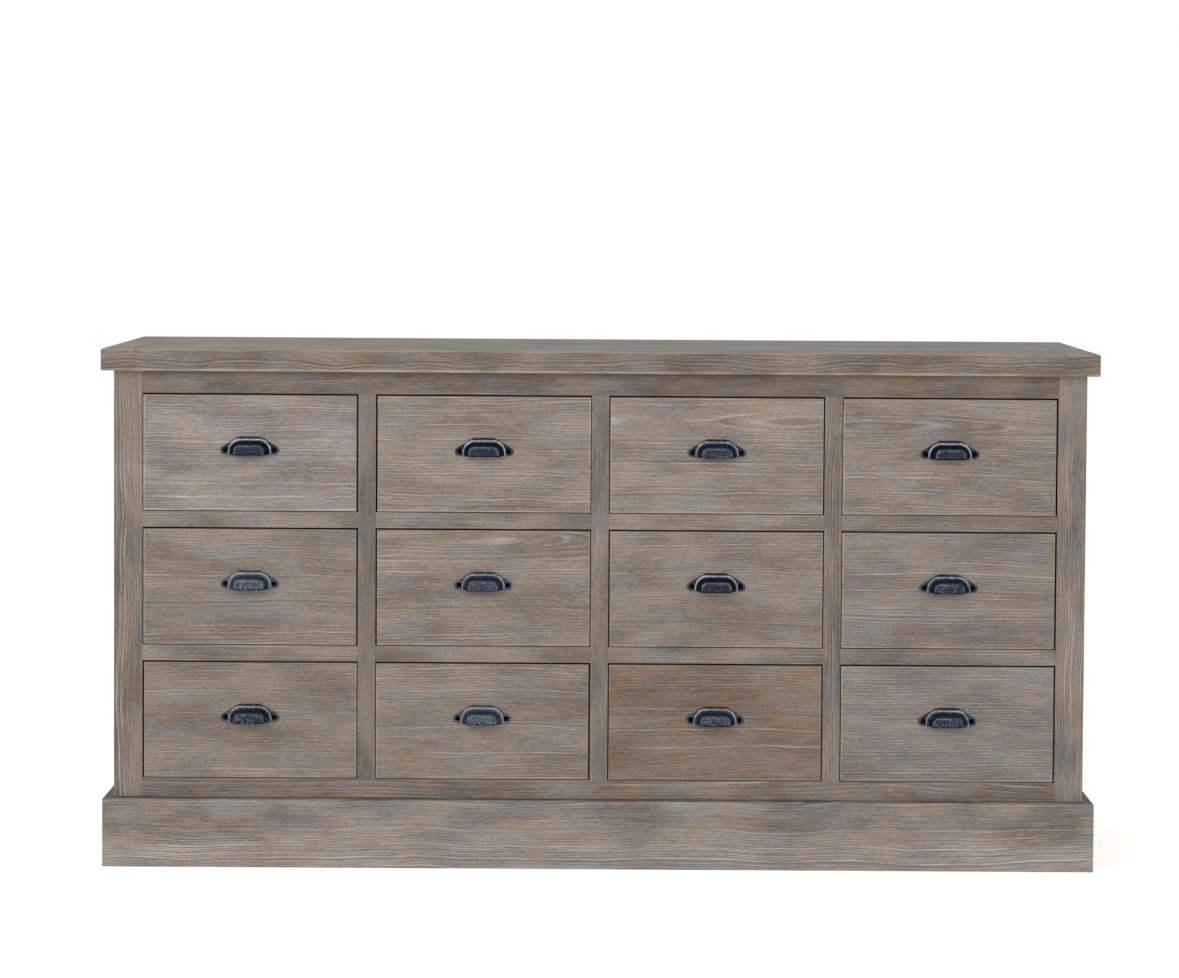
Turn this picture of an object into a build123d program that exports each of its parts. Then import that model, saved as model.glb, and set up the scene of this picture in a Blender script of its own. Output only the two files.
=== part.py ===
from build123d import *
import os
from math import cos, radians, sin, tan

# A twelve-drawer sideboard in weathered wood. Millimetres, +Z up, front towards -Y.
# The origin is the middle of the footprint, on the floor.

# Overall sizes
TOP_WIDTH = 1800.0
TOP_DEPTH = 450.0
HEIGHT = 940.0
COLUMNS = 4
ROWS = 3

# Top: a long panel between two cross pieces
TOP_THICKNESS = 40.0
TOP_OVERHANG = 20.0
BREADBOARD_WIDTH = 63.0
TOP_EDGE_RADIUS = 4.0
TOP_LOWER_EASE = 1.2
TONGUE_LENGTH = 14.0
TONGUE_THICKNESS = 12.0
JOINT_EASE = 0.5

# Front frame
STILE_WIDTH = 52.0
MUNTIN_WIDTH = 32.0
MID_RAIL_HEIGHT = 29.0
TOP_RAIL_HEIGHT = 41.0
BOTTOM_RAIL_SHOWN = 34.0
BOTTOM_RAIL_HIDDEN = 30.0
FRAME_DEPTH = 45.0
ARRIS = 0.6

# Joinery shared by all rails
TENON_THICKNESS = 10.0
TENON_LENGTH = 20.0
SHORT_TENON_LENGTH = 10.0
TENON_SHOULDER = 6.0
JOINT_CLEARANCE = 0.1
GROOVE_DEPTH = 8.0
FIT_END_GAP = 0.5
CUT_PAST = 1.0

# Plinth
PLINTH_HEIGHT = 125.0
PLINTH_THICKNESS = 18.0
PLINTH_EASE = 2.0

# Sides and back
BACK_POST_WIDTH = 45.0
SIDE_RAIL_THICKNESS = 22.0
SIDE_RAIL_HEIGHT = 80.0
SIDE_RAIL_SETBACK = 3.0
SIDE_PANEL_THICKNESS = 10.0
BACK_RAIL_THICKNESS = 22.0
BACK_PANEL_THICKNESS = 8.0
BACK_REBATE_WIDTH = 10.0

# Inside the carcass
PARTITION_THICKNESS = 16.0
BOTTOM_PANEL_THICKNESS = 12.0
RUNNER_HEIGHT = 24.0
RUNNER_OVERLAP = 3.0
GUIDE_HEIGHT = 24.0
OUTER_GUIDE_WIDTH = 20.0
GUIDE_CLEARANCE = 1.2
RUNNING_CLEARANCE = 0.3
STOP_WIDTH = 40.0
STOP_DEPTH = 14.0
STOP_HEIGHT = 7.0
STOP_OFFSET = 120.0

# Drawers
FRONT_GAP = 2.0
DRAWER_DROP = 0.9
FRONT_THICKNESS = 20.0
FRONT_EASE = 1.2
DRAWER_BACK_GAP = 10.0
SIDE_THICKNESS = 12.0
SIDE_DROP = 6.0
BACK_THICKNESS = 12.0
BACK_DROP = 14.0
BACK_INSET = 10.0
HOUSING_DEPTH = 4.0
BASE_THICKNESS = 6.0
BASE_RISE = 10.0
BASE_GROOVE_DEPTH = 6.0

# Where each drawer stands within the play of its guides, to the right of its opening's middle
SIDE_PLAY = (
    -0.9, 0.8, -0.2, -0.8,
    -0.7, 0.4, 0.3, -0.7,
    0.5, -0.7, 0.0, -0.5,
)

# Half-blind dovetails at the drawer front
TAIL_COUNT = 4
TAIL_LAP = 6.0
PIN_ROOT_WIDTH = 14.0
TAIL_ANGLE = 8.0

# Cup pull: heights are from the line through its two screws, insets from the cup's outermost outline
PULL_RISE = 6.0
LUG_SPACING = 87.6
LUG_RADIUS = 9.0
LUG_SIDES = 12
FLANGE_THICKNESS = 3.0
FLANGE_CROWN = 24.0
FLANGE_CORNER = 23.5
FLANGE_SHOULDER = 6.0
FLANGE_SLOPE_END = (48.0, 5.6)
CUP_HALF_WIDTH = 39.6
CUP_CROWN = 22.2
CROWN_SHARE = 0.78
CUP_FLAT_HALF = 16.0
CUP_WALL = 2.5
SHOULDER_STEPS = 4
BEAD_HEIGHT = 3.6
BEAD_WIDTH = 3.6
BEAD_EASE = 1.0
COVE_START = 2.2
COVE_MIDDLE_PROJECTION = 13.0
COVE_MIDDLE_INSET = 9.0
PANEL_PROJECTION = 27.0
PANEL_HALF_WIDTH = 25.0
PLATE_RISE = 1.0
PLATE_INSET = 3.8

# Pull screws, with few sides because there are many
SCREW_RADIUS = 2.0
SCREW_LENGTH = 16.0
SCREW_CLEARANCE = 0.15
SHANK_SIDES = 6
HEAD_RADIUS = 4.3
HEAD_HEIGHT = 1.8
HEAD_SIDES = 8

# Glue blocks that hold the top
BLOCK_WIDTH = 60.0
BLOCK_SIZE = 28.0

# Planes and levels worked out from the sizes above
pull_projection = PANEL_PROJECTION + PLATE_RISE
overall_depth = TOP_DEPTH + max(pull_projection - TOP_OVERHANG, 0.0)
back_y = overall_depth / 2
face_y = back_y - TOP_DEPTH + TOP_OVERHANG
top_front_y = face_y - TOP_OVERHANG
frame_back_y = face_y + FRAME_DEPTH
back_post_front_y = back_y - FRAME_DEPTH
panel_front_y = back_y - BACK_PANEL_THICKNESS
back_rail_front_y = panel_front_y - BACK_RAIL_THICKNESS

body_half = TOP_WIDTH / 2 - TOP_OVERHANG
stile_inner_x = body_half - STILE_WIDTH
side_rail_outer_x = body_half - SIDE_RAIL_SETBACK
side_rail_inner_x = side_rail_outer_x - SIDE_RAIL_THICKNESS
side_panel_x = (side_rail_outer_x + side_rail_inner_x) / 2
back_post_inner_x = body_half - BACK_POST_WIDTH

carcass_top = HEIGHT - TOP_THICKNESS
first_opening_top = carcass_top - TOP_RAIL_HEIGHT
last_opening_bottom = PLINTH_HEIGHT + BOTTOM_RAIL_SHOWN
bottom_rail_low = PLINTH_HEIGHT - BOTTOM_RAIL_HIDDEN
opening_width = (2 * stile_inner_x - (COLUMNS - 1) * MUNTIN_WIDTH) / COLUMNS
opening_height = (first_opening_top - last_opening_bottom - (ROWS - 1) * MID_RAIL_HEIGHT) / ROWS
column_pitch = opening_width + MUNTIN_WIDTH
row_pitch = opening_height + MID_RAIL_HEIGHT

column_centres = [(column - (COLUMNS - 1) / 2) * column_pitch for column in range(COLUMNS)]
muntin_centres = [(column + 1 - COLUMNS / 2) * column_pitch for column in range(COLUMNS - 1)]
opening_bottoms = [first_opening_top - opening_height - row * row_pitch for row in range(ROWS)]

drawer_rise = FRONT_GAP - DRAWER_DROP
runner_top_rise = drawer_rise - RUNNING_CLEARANCE
bottom_panel_top = last_opening_bottom + runner_top_rise - RUNNER_HEIGHT
bottom_panel_low = bottom_panel_top - BOTTOM_PANEL_THICKNESS

drawer_depth = back_rail_front_y - face_y - DRAWER_BACK_GAP
front_width = opening_width - 2 * FRONT_GAP
front_height = opening_height - 2 * FRONT_GAP
side_height = front_height - SIDE_DROP
tail_length = FRONT_THICKNESS - TAIL_LAP
screw_x_places = (-LUG_SPACING / 2, LUG_SPACING / 2)
block_y_centres = (frame_back_y + BLOCK_SIZE / 2, back_rail_front_y - BLOCK_SIZE / 2)

os.makedirs("parts", exist_ok=True)


def save(piece, label):
    """Label a finished piece and write it as its own file."""
    piece.label = label
    export_step(piece, f"parts/{label}.step")


def timber(x_span, y_span, z_span, mode=Mode.ADD):
    """Add or cut a squared length of timber between two planes in each direction."""
    with BuildSketch(Plane.XY.offset(z_span[0])) as section:
        with Locations(((x_span[0] + x_span[1]) / 2, (y_span[0] + y_span[1]) / 2)):
            Rectangle(x_span[1] - x_span[0], y_span[1] - y_span[0])
    extrude(section.sketch, amount=z_span[1] - z_span[0], mode=mode)


def mirrored_span(span, hand):
    """The span itself on the right side, or its mirror image on the left side."""
    return span if hand > 0 else (-span[1], -span[0])


def grown(span, amount):
    """A span made longer at both ends."""
    return (span[0] - amount, span[1] + amount)


def ease_front_edges(plane_y, size):
    """Chamfer the long edges of the open part's faces that lie in a plane facing the front."""
    front_faces = faces().filter_by(Axis.Y).group_by(Axis.Y)[0]
    front_faces = [face for face in front_faces if abs(face.center().Y - plane_y) < ARRIS]
    long_edges = [edge for face in front_faces for edge in face.edges() if edge.length > 2 * FRAME_DEPTH]
    chamfer(long_edges, size)


# Top

def make_top():
    """The long top panel, with a tongue at each end."""
    panel_half = TOP_WIDTH / 2 - BREADBOARD_WIDTH
    tongue_z = HEIGHT - TOP_THICKNESS / 2
    with BuildPart() as top_panel:
        timber((-panel_half, panel_half), (top_front_y, back_y), (carcass_top, HEIGHT))
        fillet(top_panel.edges().filter_by(Axis.X).group_by(Axis.Z)[-1], TOP_EDGE_RADIUS)
        chamfer(top_panel.edges().filter_by(Axis.X).group_by(Axis.Z)[0], TOP_LOWER_EASE)
        joint_edges = top_panel.faces().filter_by(Axis.X).edges().filter_by(Axis.Y).group_by(Axis.Z)[-1]
        chamfer(joint_edges, JOINT_EASE)
        for hand in (-1, 1):
            tongue = mirrored_span((panel_half - CUT_PAST, panel_half + TONGUE_LENGTH), hand)
            tongue_y = (top_front_y + TONGUE_LENGTH, back_y - TONGUE_LENGTH)
            timber(tongue, tongue_y, (tongue_z - TONGUE_THICKNESS / 2, tongue_z + TONGUE_THICKNESS / 2))
    save(top_panel.part, "top_panel")


def make_breadboard_end(hand, label):
    """A cross piece at one end of the top, grooved for the panel's tongue."""
    inner_x = TOP_WIDTH / 2 - BREADBOARD_WIDTH
    tongue_z = HEIGHT - TOP_THICKNESS / 2
    with BuildPart() as end:
        timber(mirrored_span((inner_x, TOP_WIDTH / 2), hand), (top_front_y, back_y), (carcass_top, HEIGHT))
        outer_edges = end.edges().filter_by(Axis.Y).group_by(Axis.X)[-1 if hand > 0 else 0]
        end_edges = end.edges().filter_by(Axis.X)
        upper = (outer_edges + end_edges).filter_by_position(Axis.Z, HEIGHT - 1, HEIGHT + 1)
        fillet(upper, TOP_EDGE_RADIUS)
        outer_edges = end.edges().filter_by(Axis.Y).group_by(Axis.X)[-1 if hand > 0 else 0]
        end_edges = end.edges().filter_by(Axis.X)
        lower = (outer_edges + end_edges).filter_by_position(Axis.Z, carcass_top - 1, carcass_top + 1)
        chamfer(lower, TOP_LOWER_EASE)
        joint_edges = end.faces().sort_by(Axis.X)[0 if hand > 0 else -1].edges().filter_by(Axis.Y)
        chamfer(joint_edges.group_by(Axis.Z)[-1], JOINT_EASE)
        groove = mirrored_span((inner_x - CUT_PAST, inner_x + TONGUE_LENGTH + FIT_END_GAP), hand)
        groove_y = (top_front_y + TONGUE_LENGTH - FIT_END_GAP, back_y - TONGUE_LENGTH + FIT_END_GAP)
        groove_z = grown((tongue_z - TONGUE_THICKNESS / 2, tongue_z + TONGUE_THICKNESS / 2), JOINT_CLEARANCE)
        timber(groove, groove_y, groove_z, Mode.SUBTRACT)
    save(end.part, label)


# Joinery: each tenon's block is worked out once, and its mortise is that block grown by the clearance

frame_middle_y = face_y + FRAME_DEPTH / 2
frame_tenon_y = (frame_middle_y - TENON_THICKNESS / 2, frame_middle_y + TENON_THICKNESS / 2)
side_tenon_x = (side_panel_x - TENON_THICKNESS / 2, side_panel_x + TENON_THICKNESS / 2)
back_rail_y = (back_rail_front_y, panel_front_y)
back_rail_middle_y = back_rail_front_y + BACK_RAIL_THICKNESS / 2
back_tenon_y = (back_rail_middle_y - TENON_THICKNESS / 2, back_rail_middle_y + TENON_THICKNESS / 2)
top_rail_z = (first_opening_top, carcass_top)
bottom_rail_z = (bottom_rail_low, last_opening_bottom)
side_rail_spans = (
    (carcass_top - SIDE_RAIL_HEIGHT, carcass_top),
    (bottom_rail_low, bottom_rail_low + SIDE_RAIL_HEIGHT),
)
side_panel_z = (side_rail_spans[1][1] - GROOVE_DEPTH, side_rail_spans[0][0] + GROOVE_DEPTH)
mid_rail_spans = [(bottom - MID_RAIL_HEIGHT, bottom) for bottom in opening_bottoms[:-1]]


def shouldered(span):
    """The span of a tenon inside the span of its rail."""
    return grown(span, -TENON_SHOULDER)


def side_tenon(span):
    """The span of a side rail's tenon, clear of the groove along the rail."""
    return grown(span, -GROOVE_DEPTH - TENON_SHOULDER)


def mortise(x_span, y_span, z_span):
    """Cut a tenon's block, grown by the clearance, out of the open part."""
    clear = JOINT_CLEARANCE
    timber(grown(x_span, clear), grown(y_span, clear), grown(z_span, clear), Mode.SUBTRACT)


def make_front_post(hand, label):
    """A front post down to the floor, with its mortises and the side panel's groove."""
    with BuildPart() as post:
        timber(mirrored_span((stile_inner_x, body_half), hand), (face_y, frame_back_y), (0.0, carcass_top))
        upright_edges = post.edges().filter_by(Axis.Z).group_by(Axis.Y)[0]
        chamfer(upright_edges, ARRIS)
        for span in (top_rail_z, bottom_rail_z):
            tenon_x = mirrored_span((stile_inner_x, stile_inner_x + TENON_LENGTH + FIT_END_GAP), hand)
            mortise(tenon_x, frame_tenon_y, shouldered(span))
        for span in mid_rail_spans:
            tenon_x = mirrored_span((stile_inner_x, stile_inner_x + SHORT_TENON_LENGTH + FIT_END_GAP), hand)
            mortise(tenon_x, frame_tenon_y, shouldered(span))
        for span in side_rail_spans:
            tenon_y = (frame_back_y - TENON_LENGTH - FIT_END_GAP, frame_back_y)
            mortise(mirrored_span(side_tenon_x, hand), tenon_y, side_tenon(span))
        side_panel_groove(hand, (frame_back_y - GROOVE_DEPTH, frame_back_y), side_panel_z)
    save(post.part, label)


def side_panel_groove(hand, y_span, z_span):
    """Cut the groove that a side panel's edge sits in."""
    panel_x = (side_panel_x - SIDE_PANEL_THICKNESS / 2, side_panel_x + SIDE_PANEL_THICKNESS / 2)
    mortise(mirrored_span(panel_x, hand), y_span, z_span)


def make_back_post(hand, label):
    """A back post with mortises, the side panel's groove and a rebate for the back panel."""
    post_x = mirrored_span((back_post_inner_x, body_half), hand)
    with BuildPart() as post:
        timber(post_x, (back_post_front_y, back_y), (0.0, carcass_top))
        chamfer(post.edges().filter_by(Axis.Z).group_by(Axis.Y)[-1], ARRIS)
        for span in side_rail_spans:
            tenon_y = (back_post_front_y, back_post_front_y + TENON_LENGTH + FIT_END_GAP)
            mortise(mirrored_span(side_tenon_x, hand), tenon_y, side_tenon(span))
            tenon_x = (back_post_inner_x, back_post_inner_x + SHORT_TENON_LENGTH + FIT_END_GAP)
            mortise(mirrored_span(tenon_x, hand), back_tenon_y, shouldered(span))
        side_panel_groove(hand, (back_post_front_y, back_post_front_y + GROOVE_DEPTH), side_panel_z)
        rebate_x = mirrored_span((back_post_inner_x - CUT_PAST, back_post_inner_x + BACK_REBATE_WIDTH), hand)
        rebate_z = (bottom_rail_low, carcass_top + CUT_PAST)
        timber(rebate_x, (panel_front_y, back_y + CUT_PAST), rebate_z, Mode.SUBTRACT)
    save(post.part, label)


def make_side_rails():
    """The four side rails between the posts, tenoned at both ends and grooved for the side panels."""
    with BuildPart() as rails:
        for hand in (-1, 1):
            rail_x = mirrored_span((side_rail_inner_x, side_rail_outer_x), hand)
            for span in side_rail_spans:
                timber(rail_x, (frame_back_y, back_post_front_y), span)
                tenon_y = (frame_back_y - TENON_LENGTH, back_post_front_y + TENON_LENGTH)
                timber(mirrored_span(side_tenon_x, hand), tenon_y, side_tenon(span))
            side_panel_groove(hand, (frame_back_y, back_post_front_y), side_panel_z)
            base_groove_x = mirrored_span((side_rail_inner_x, side_rail_inner_x + BASE_GROOVE_DEPTH), hand)
            mortise(base_groove_x, (frame_back_y, back_post_front_y), (bottom_panel_low, bottom_panel_top))
    save(rails.part, "side_rails")


def make_side_panel(hand, label):
    """A thin panel held in the grooves of the side rails and posts."""
    reach = GROOVE_DEPTH - FIT_END_GAP
    panel_x = (side_panel_x - SIDE_PANEL_THICKNESS / 2, side_panel_x + SIDE_PANEL_THICKNESS / 2)
    panel_y = grown((frame_back_y, back_post_front_y), reach)
    with BuildPart() as panel:
        timber(mirrored_span(panel_x, hand), panel_y, grown(side_panel_z, -FIT_END_GAP))
    save(panel.part, label)


def make_face_rail(z_span, label, muntin_side):
    """A face rail across the whole front, mortised for the muntins on one edge."""
    with BuildPart() as rail:
        timber((-stile_inner_x, stile_inner_x), (face_y, frame_back_y), z_span)
        ease_front_edges(face_y, ARRIS)
        timber(grown((-stile_inner_x, stile_inner_x), TENON_LENGTH), frame_tenon_y, shouldered(z_span))
        for centre in muntin_centres:
            tenon_x = shouldered((centre - MUNTIN_WIDTH / 2, centre + MUNTIN_WIDTH / 2))
            depth = SHORT_TENON_LENGTH + FIT_END_GAP
            edge = z_span[1] if muntin_side > 0 else z_span[0]
            tenon_z = (edge - depth, edge) if muntin_side > 0 else (edge, edge + depth)
            mortise(tenon_x, frame_tenon_y, tenon_z)
        if muntin_side > 0:
            groove_y = (frame_back_y - BASE_GROOVE_DEPTH, frame_back_y)
            mortise((-stile_inner_x, stile_inner_x), groove_y, (bottom_panel_low, bottom_panel_top))
    save(rail.part, label)


def make_muntins():
    """The uprights between the columns, tenoned into both face rails and mortised for the mid rails."""
    with BuildPart() as muntins:
        for centre in muntin_centres:
            x_span = (centre - MUNTIN_WIDTH / 2, centre + MUNTIN_WIDTH / 2)
            timber(x_span, (face_y, frame_back_y), (last_opening_bottom, first_opening_top))
        ease_front_edges(face_y, ARRIS)
        for centre in muntin_centres:
            x_span = (centre - MUNTIN_WIDTH / 2, centre + MUNTIN_WIDTH / 2)
            tenon_z = grown((last_opening_bottom, first_opening_top), SHORT_TENON_LENGTH)
            timber(shouldered(x_span), frame_tenon_y, tenon_z)
            for span in mid_rail_spans:
                depth = SHORT_TENON_LENGTH + FIT_END_GAP
                mortise((x_span[0], x_span[0] + depth), frame_tenon_y, shouldered(span))
                mortise((x_span[1] - depth, x_span[1]), frame_tenon_y, shouldered(span))
    save(muntins.part, "muntins")


def make_mid_rails():
    """The short rails between the drawers of each column, tenoned into posts and muntins."""
    with BuildPart() as rails:
        for centre in column_centres:
            x_span = (centre - opening_width / 2, centre + opening_width / 2)
            for span in mid_rail_spans:
                timber(x_span, (face_y, frame_back_y), span)
        ease_front_edges(face_y, ARRIS)
        for centre in column_centres:
            x_span = (centre - opening_width / 2, centre + opening_width / 2)
            for span in mid_rail_spans:
                timber(grown(x_span, SHORT_TENON_LENGTH), frame_tenon_y, shouldered(span))
    save(rails.part, "mid_rails")


def make_back_rails():
    """The two rails across the back, tenoned into the back posts; the lower one takes the bottom panel."""
    rail_x = (-back_post_inner_x, back_post_inner_x)
    with BuildPart() as rails:
        for span in side_rail_spans:
            timber(rail_x, back_rail_y, span)
            timber(grown(rail_x, SHORT_TENON_LENGTH), back_tenon_y, shouldered(span))
        groove_y = (back_rail_front_y, back_rail_front_y + BASE_GROOVE_DEPTH)
        mortise(rail_x, groove_y, (bottom_panel_low, bottom_panel_top))
    save(rails.part, "back_rails")


# Panels inside and behind the carcass

def make_back_panel():
    """The thin back panel in the back posts' rebates, over the back rails."""
    half = back_post_inner_x + BACK_REBATE_WIDTH - FIT_END_GAP
    with BuildPart() as panel:
        timber((-half, half), (panel_front_y, back_y), (bottom_rail_low, carcass_top - FIT_END_GAP))
    save(panel.part, "back_panel")


def make_bottom_panel():
    """The bottom panel, let into the grooves of the rails and notched round the four posts."""
    reach = BASE_GROOVE_DEPTH - FIT_END_GAP
    half = side_rail_inner_x + reach
    y_span = (frame_back_y - reach, back_rail_front_y + reach)
    z_span = (bottom_panel_low, bottom_panel_top)
    with BuildPart() as panel:
        timber((-half, half), y_span, z_span)
        for hand in (-1, 1):
            front_notch = mirrored_span((stile_inner_x - FIT_END_GAP, half + CUT_PAST), hand)
            timber(front_notch, (y_span[0] - CUT_PAST, frame_back_y + FIT_END_GAP), z_span, Mode.SUBTRACT)
            back_notch = mirrored_span((back_post_inner_x - FIT_END_GAP, half + CUT_PAST), hand)
            timber(back_notch, (back_post_front_y - FIT_END_GAP, y_span[1] + CUT_PAST), z_span, Mode.SUBTRACT)
    save(panel.part, "bottom_panel")


def make_partitions():
    """The upright panels behind the muntins that carry the inner runners."""
    with BuildPart() as partitions:
        for centre in muntin_centres:
            x_span = (centre - PARTITION_THICKNESS / 2, centre + PARTITION_THICKNESS / 2)
            timber(x_span, (frame_back_y, back_rail_front_y), (bottom_panel_top, carcass_top))
    save(partitions.part, "partitions")


# Drawer runners, guides and stops

def is_outer(column, hand):
    """True where a column's runner is carried by the body's side and not by a partition."""
    return (column == 0 and hand < 0) or (column == COLUMNS - 1 and hand > 0)


def wall_distance(column, hand):
    """Distance from a column's middle to the wall that carries its runner on one side."""
    if is_outer(column, hand):
        return side_rail_inner_x - abs(column_centres[column])
    return column_pitch / 2 - PARTITION_THICKNESS / 2


def make_runners():
    """Runners under both sides of every drawer, and the kickers above the top row."""
    tops = [bottom + runner_top_rise for bottom in opening_bottoms]
    tops.append(first_opening_top + RUNNER_HEIGHT)
    inner_face = front_width / 2 - SIDE_THICKNESS - RUNNER_OVERLAP
    with BuildPart() as runners:
        for column, centre in enumerate(column_centres):
            for hand in (-1, 1):
                span = mirrored_span((inner_face, wall_distance(column, hand)), hand)
                x_span = (centre + span[0], centre + span[1])
                for top in tops:
                    timber(x_span, (frame_back_y, back_post_front_y), (top - RUNNER_HEIGHT, top))
    save(runners.part, "drawer_runners")


def make_guides():
    """Guide strips on the runners, beside every drawer's sides."""
    guide_face = front_width / 2 + GUIDE_CLEARANCE
    with BuildPart() as guides:
        for column, centre in enumerate(column_centres):
            for hand in (-1, 1):
                wall = wall_distance(column, hand)
                guide_back = guide_face + OUTER_GUIDE_WIDTH if is_outer(column, hand) else wall
                span = mirrored_span((guide_face, guide_back), hand)
                x_span = (centre + span[0], centre + span[1])
                for bottom in opening_bottoms:
                    low = bottom + runner_top_rise
                    timber(x_span, (frame_back_y, back_post_front_y), (low, low + GUIDE_HEIGHT))
    save(guides.part, "drawer_guides")


def make_stops():
    """Two small stops on the rail behind each drawer front."""
    stop_front = face_y + FRONT_THICKNESS + RUNNING_CLEARANCE
    with BuildPart() as stops:
        for centre in column_centres:
            for bottom in opening_bottoms:
                for offset in (-STOP_OFFSET, STOP_OFFSET):
                    x_span = (centre + offset - STOP_WIDTH / 2, centre + offset + STOP_WIDTH / 2)
                    timber(x_span, (stop_front, stop_front + STOP_DEPTH), (bottom, bottom + STOP_HEIGHT))
    save(stops.part, "drawer_stops")


# Plinth

def plinth_board(corners, label):
    """A plinth board with mitred ends, given by its outline on the floor."""
    with BuildPart() as board:
        for outline in corners:
            with BuildSketch() as plan:
                with BuildLine():
                    Polyline(*outline, close=True)
                make_face()
            extrude(plan.sketch, amount=PLINTH_HEIGHT)
        outer_faces = [face for face in board.faces() if is_plinth_outside(face)]
        upper = [edge for face in outer_faces for edge in face.edges() if edge.center().Z > PLINTH_HEIGHT - 1]
        chamfer(upper, PLINTH_EASE)
    save(board.part, label)


def is_plinth_outside(face):
    """True for the faces that look away from the body."""
    centre = face.center()
    outside_front = abs(centre.Y - (face_y - PLINTH_THICKNESS)) < 1
    outside_side = abs(abs(centre.X) - (body_half + PLINTH_THICKNESS)) < 1
    return outside_front or outside_side


def make_plinth():
    """The front board and the two side boards, mitred at the front corners."""
    outer_x = body_half + PLINTH_THICKNESS
    outer_y = face_y - PLINTH_THICKNESS
    front = [(-outer_x, outer_y), (outer_x, outer_y), (body_half, face_y), (-body_half, face_y)]
    right = [(outer_x, outer_y), (outer_x, back_y), (body_half, back_y), (body_half, face_y)]
    left = [(-x, y) for x, y in right]
    plinth_board([front], "plinth_front")
    plinth_board([left, right], "plinth_sides")


# Glue blocks under the top

def make_top_blocks():
    """Blocks glued into the corner between the top and the upper rails, in front and behind."""
    with BuildPart() as blocks:
        with BuildSketch(Plane.XY.offset(carcass_top - BLOCK_SIZE)):
            with Locations(*[(x, y) for x in column_centres for y in block_y_centres]):
                Rectangle(BLOCK_WIDTH, BLOCK_SIZE)
        extrude(amount=BLOCK_SIZE)
    save(blocks.part, "top_blocks")


# Drawer, in its own frame: x from its middle, y from the front plane, z from the front's lower edge

drawer_back_y = (drawer_depth - BACK_INSET - BACK_THICKNESS, drawer_depth - BACK_INSET)


def tail_outlines(length):
    """The dovetails' outlines in the plane of a drawer side, as far as their wide ends."""
    pitch = side_height / TAIL_COUNT
    root_half = (pitch - PIN_ROOT_WIDTH) / 2
    end_half = root_half + length * tan(radians(TAIL_ANGLE))
    outlines = []
    for tail in range(TAIL_COUNT):
        middle = (tail + 0.5) * pitch
        root_y = FRONT_THICKNESS
        end_y = FRONT_THICKNESS - length
        outlines.append([
            (root_y, middle - root_half),
            (root_y, middle + root_half),
            (end_y, middle + end_half),
            (end_y, middle - end_half),
        ])
    return outlines


def tail_sketch(x):
    """All the dovetails of one corner as a sketch at one depth of the drawer side."""
    with BuildSketch(Plane.YZ.offset(x)) as tails:
        for outline in tail_outlines(tail_length):
            with BuildLine():
                Polyline(*outline, close=True)
            make_face()
    return tails.sketch


def base_groove_z():
    """The height span of the groove that holds the drawer's bottom."""
    return (BASE_RISE, BASE_RISE + BASE_THICKNESS + 2 * JOINT_CLEARANCE)


def make_drawer_front():
    """The drawer front: eased edges, sockets for the dovetails, the bottom's groove and the pull's holes."""
    half = front_width / 2
    side_inner = half - SIDE_THICKNESS
    with BuildPart() as front:
        timber((-half, half), (0.0, FRONT_THICKNESS), (0.0, front_height))
        chamfer(front.faces().sort_by(Axis.Y)[0].edges(), FRONT_EASE)
        for hand in (-1, 1):
            start = side_inner if hand > 0 else -half
            extrude(tail_sketch(start), amount=SIDE_THICKNESS, mode=Mode.SUBTRACT)
        groove_x = (-side_inner - BASE_GROOVE_DEPTH, side_inner + BASE_GROOVE_DEPTH)
        groove_y = (FRONT_THICKNESS - BASE_GROOVE_DEPTH, FRONT_THICKNESS)
        timber(groove_x, groove_y, base_groove_z(), Mode.SUBTRACT)
        with BuildSketch(Plane.XZ):
            with Locations(*[(x, front_height / 2 + PULL_RISE) for x in screw_x_places]):
                RegularPolygon(SCREW_RADIUS + SCREW_CLEARANCE, SHANK_SIDES)
        extrude(amount=FLANGE_THICKNESS - SCREW_LENGTH - FIT_END_GAP, mode=Mode.SUBTRACT)
    return front.part


def make_drawer_side(hand):
    """A drawer side with its tails, the bottom's groove and the housing for the back."""
    half = front_width / 2
    inner = half - SIDE_THICKNESS
    start = inner if hand > 0 else -half
    housing_z = (base_groove_z()[1], side_height + CUT_PAST)
    with BuildPart() as side:
        timber(mirrored_span((inner, half), hand), (FRONT_THICKNESS, drawer_depth), (0.0, side_height))
        extrude(tail_sketch(start), amount=SIDE_THICKNESS)
        groove_x = mirrored_span((inner - CUT_PAST, inner + BASE_GROOVE_DEPTH), hand)
        timber(groove_x, (0.0, drawer_depth + CUT_PAST), base_groove_z(), Mode.SUBTRACT)
        housing_x = mirrored_span((inner - CUT_PAST, inner + HOUSING_DEPTH), hand)
        timber(housing_x, grown(drawer_back_y, JOINT_CLEARANCE), housing_z, Mode.SUBTRACT)
    return side.part


def make_drawer_back():
    """The drawer's back, housed between the sides and standing on the bottom."""
    reach = front_width / 2 - SIDE_THICKNESS + HOUSING_DEPTH - JOINT_CLEARANCE
    with BuildPart() as back:
        timber((-reach, reach), drawer_back_y, (base_groove_z()[1], side_height - BACK_DROP))
    return back.part


def make_drawer_bottom():
    """The drawer's bottom, slid into the grooves from behind, under the back."""
    reach = front_width / 2 - SIDE_THICKNESS + BASE_GROOVE_DEPTH - FIT_END_GAP
    low = BASE_RISE + JOINT_CLEARANCE
    with BuildPart() as bottom:
        front_edge = FRONT_THICKNESS - BASE_GROOVE_DEPTH + FIT_END_GAP
        timber((-reach, reach), (front_edge, drawer_back_y[1]), (low, low + BASE_THICKNESS))
    return bottom.part


# Cup pull, in its own frame: x from its middle, -y away from the drawer, z from the screws' line

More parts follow.
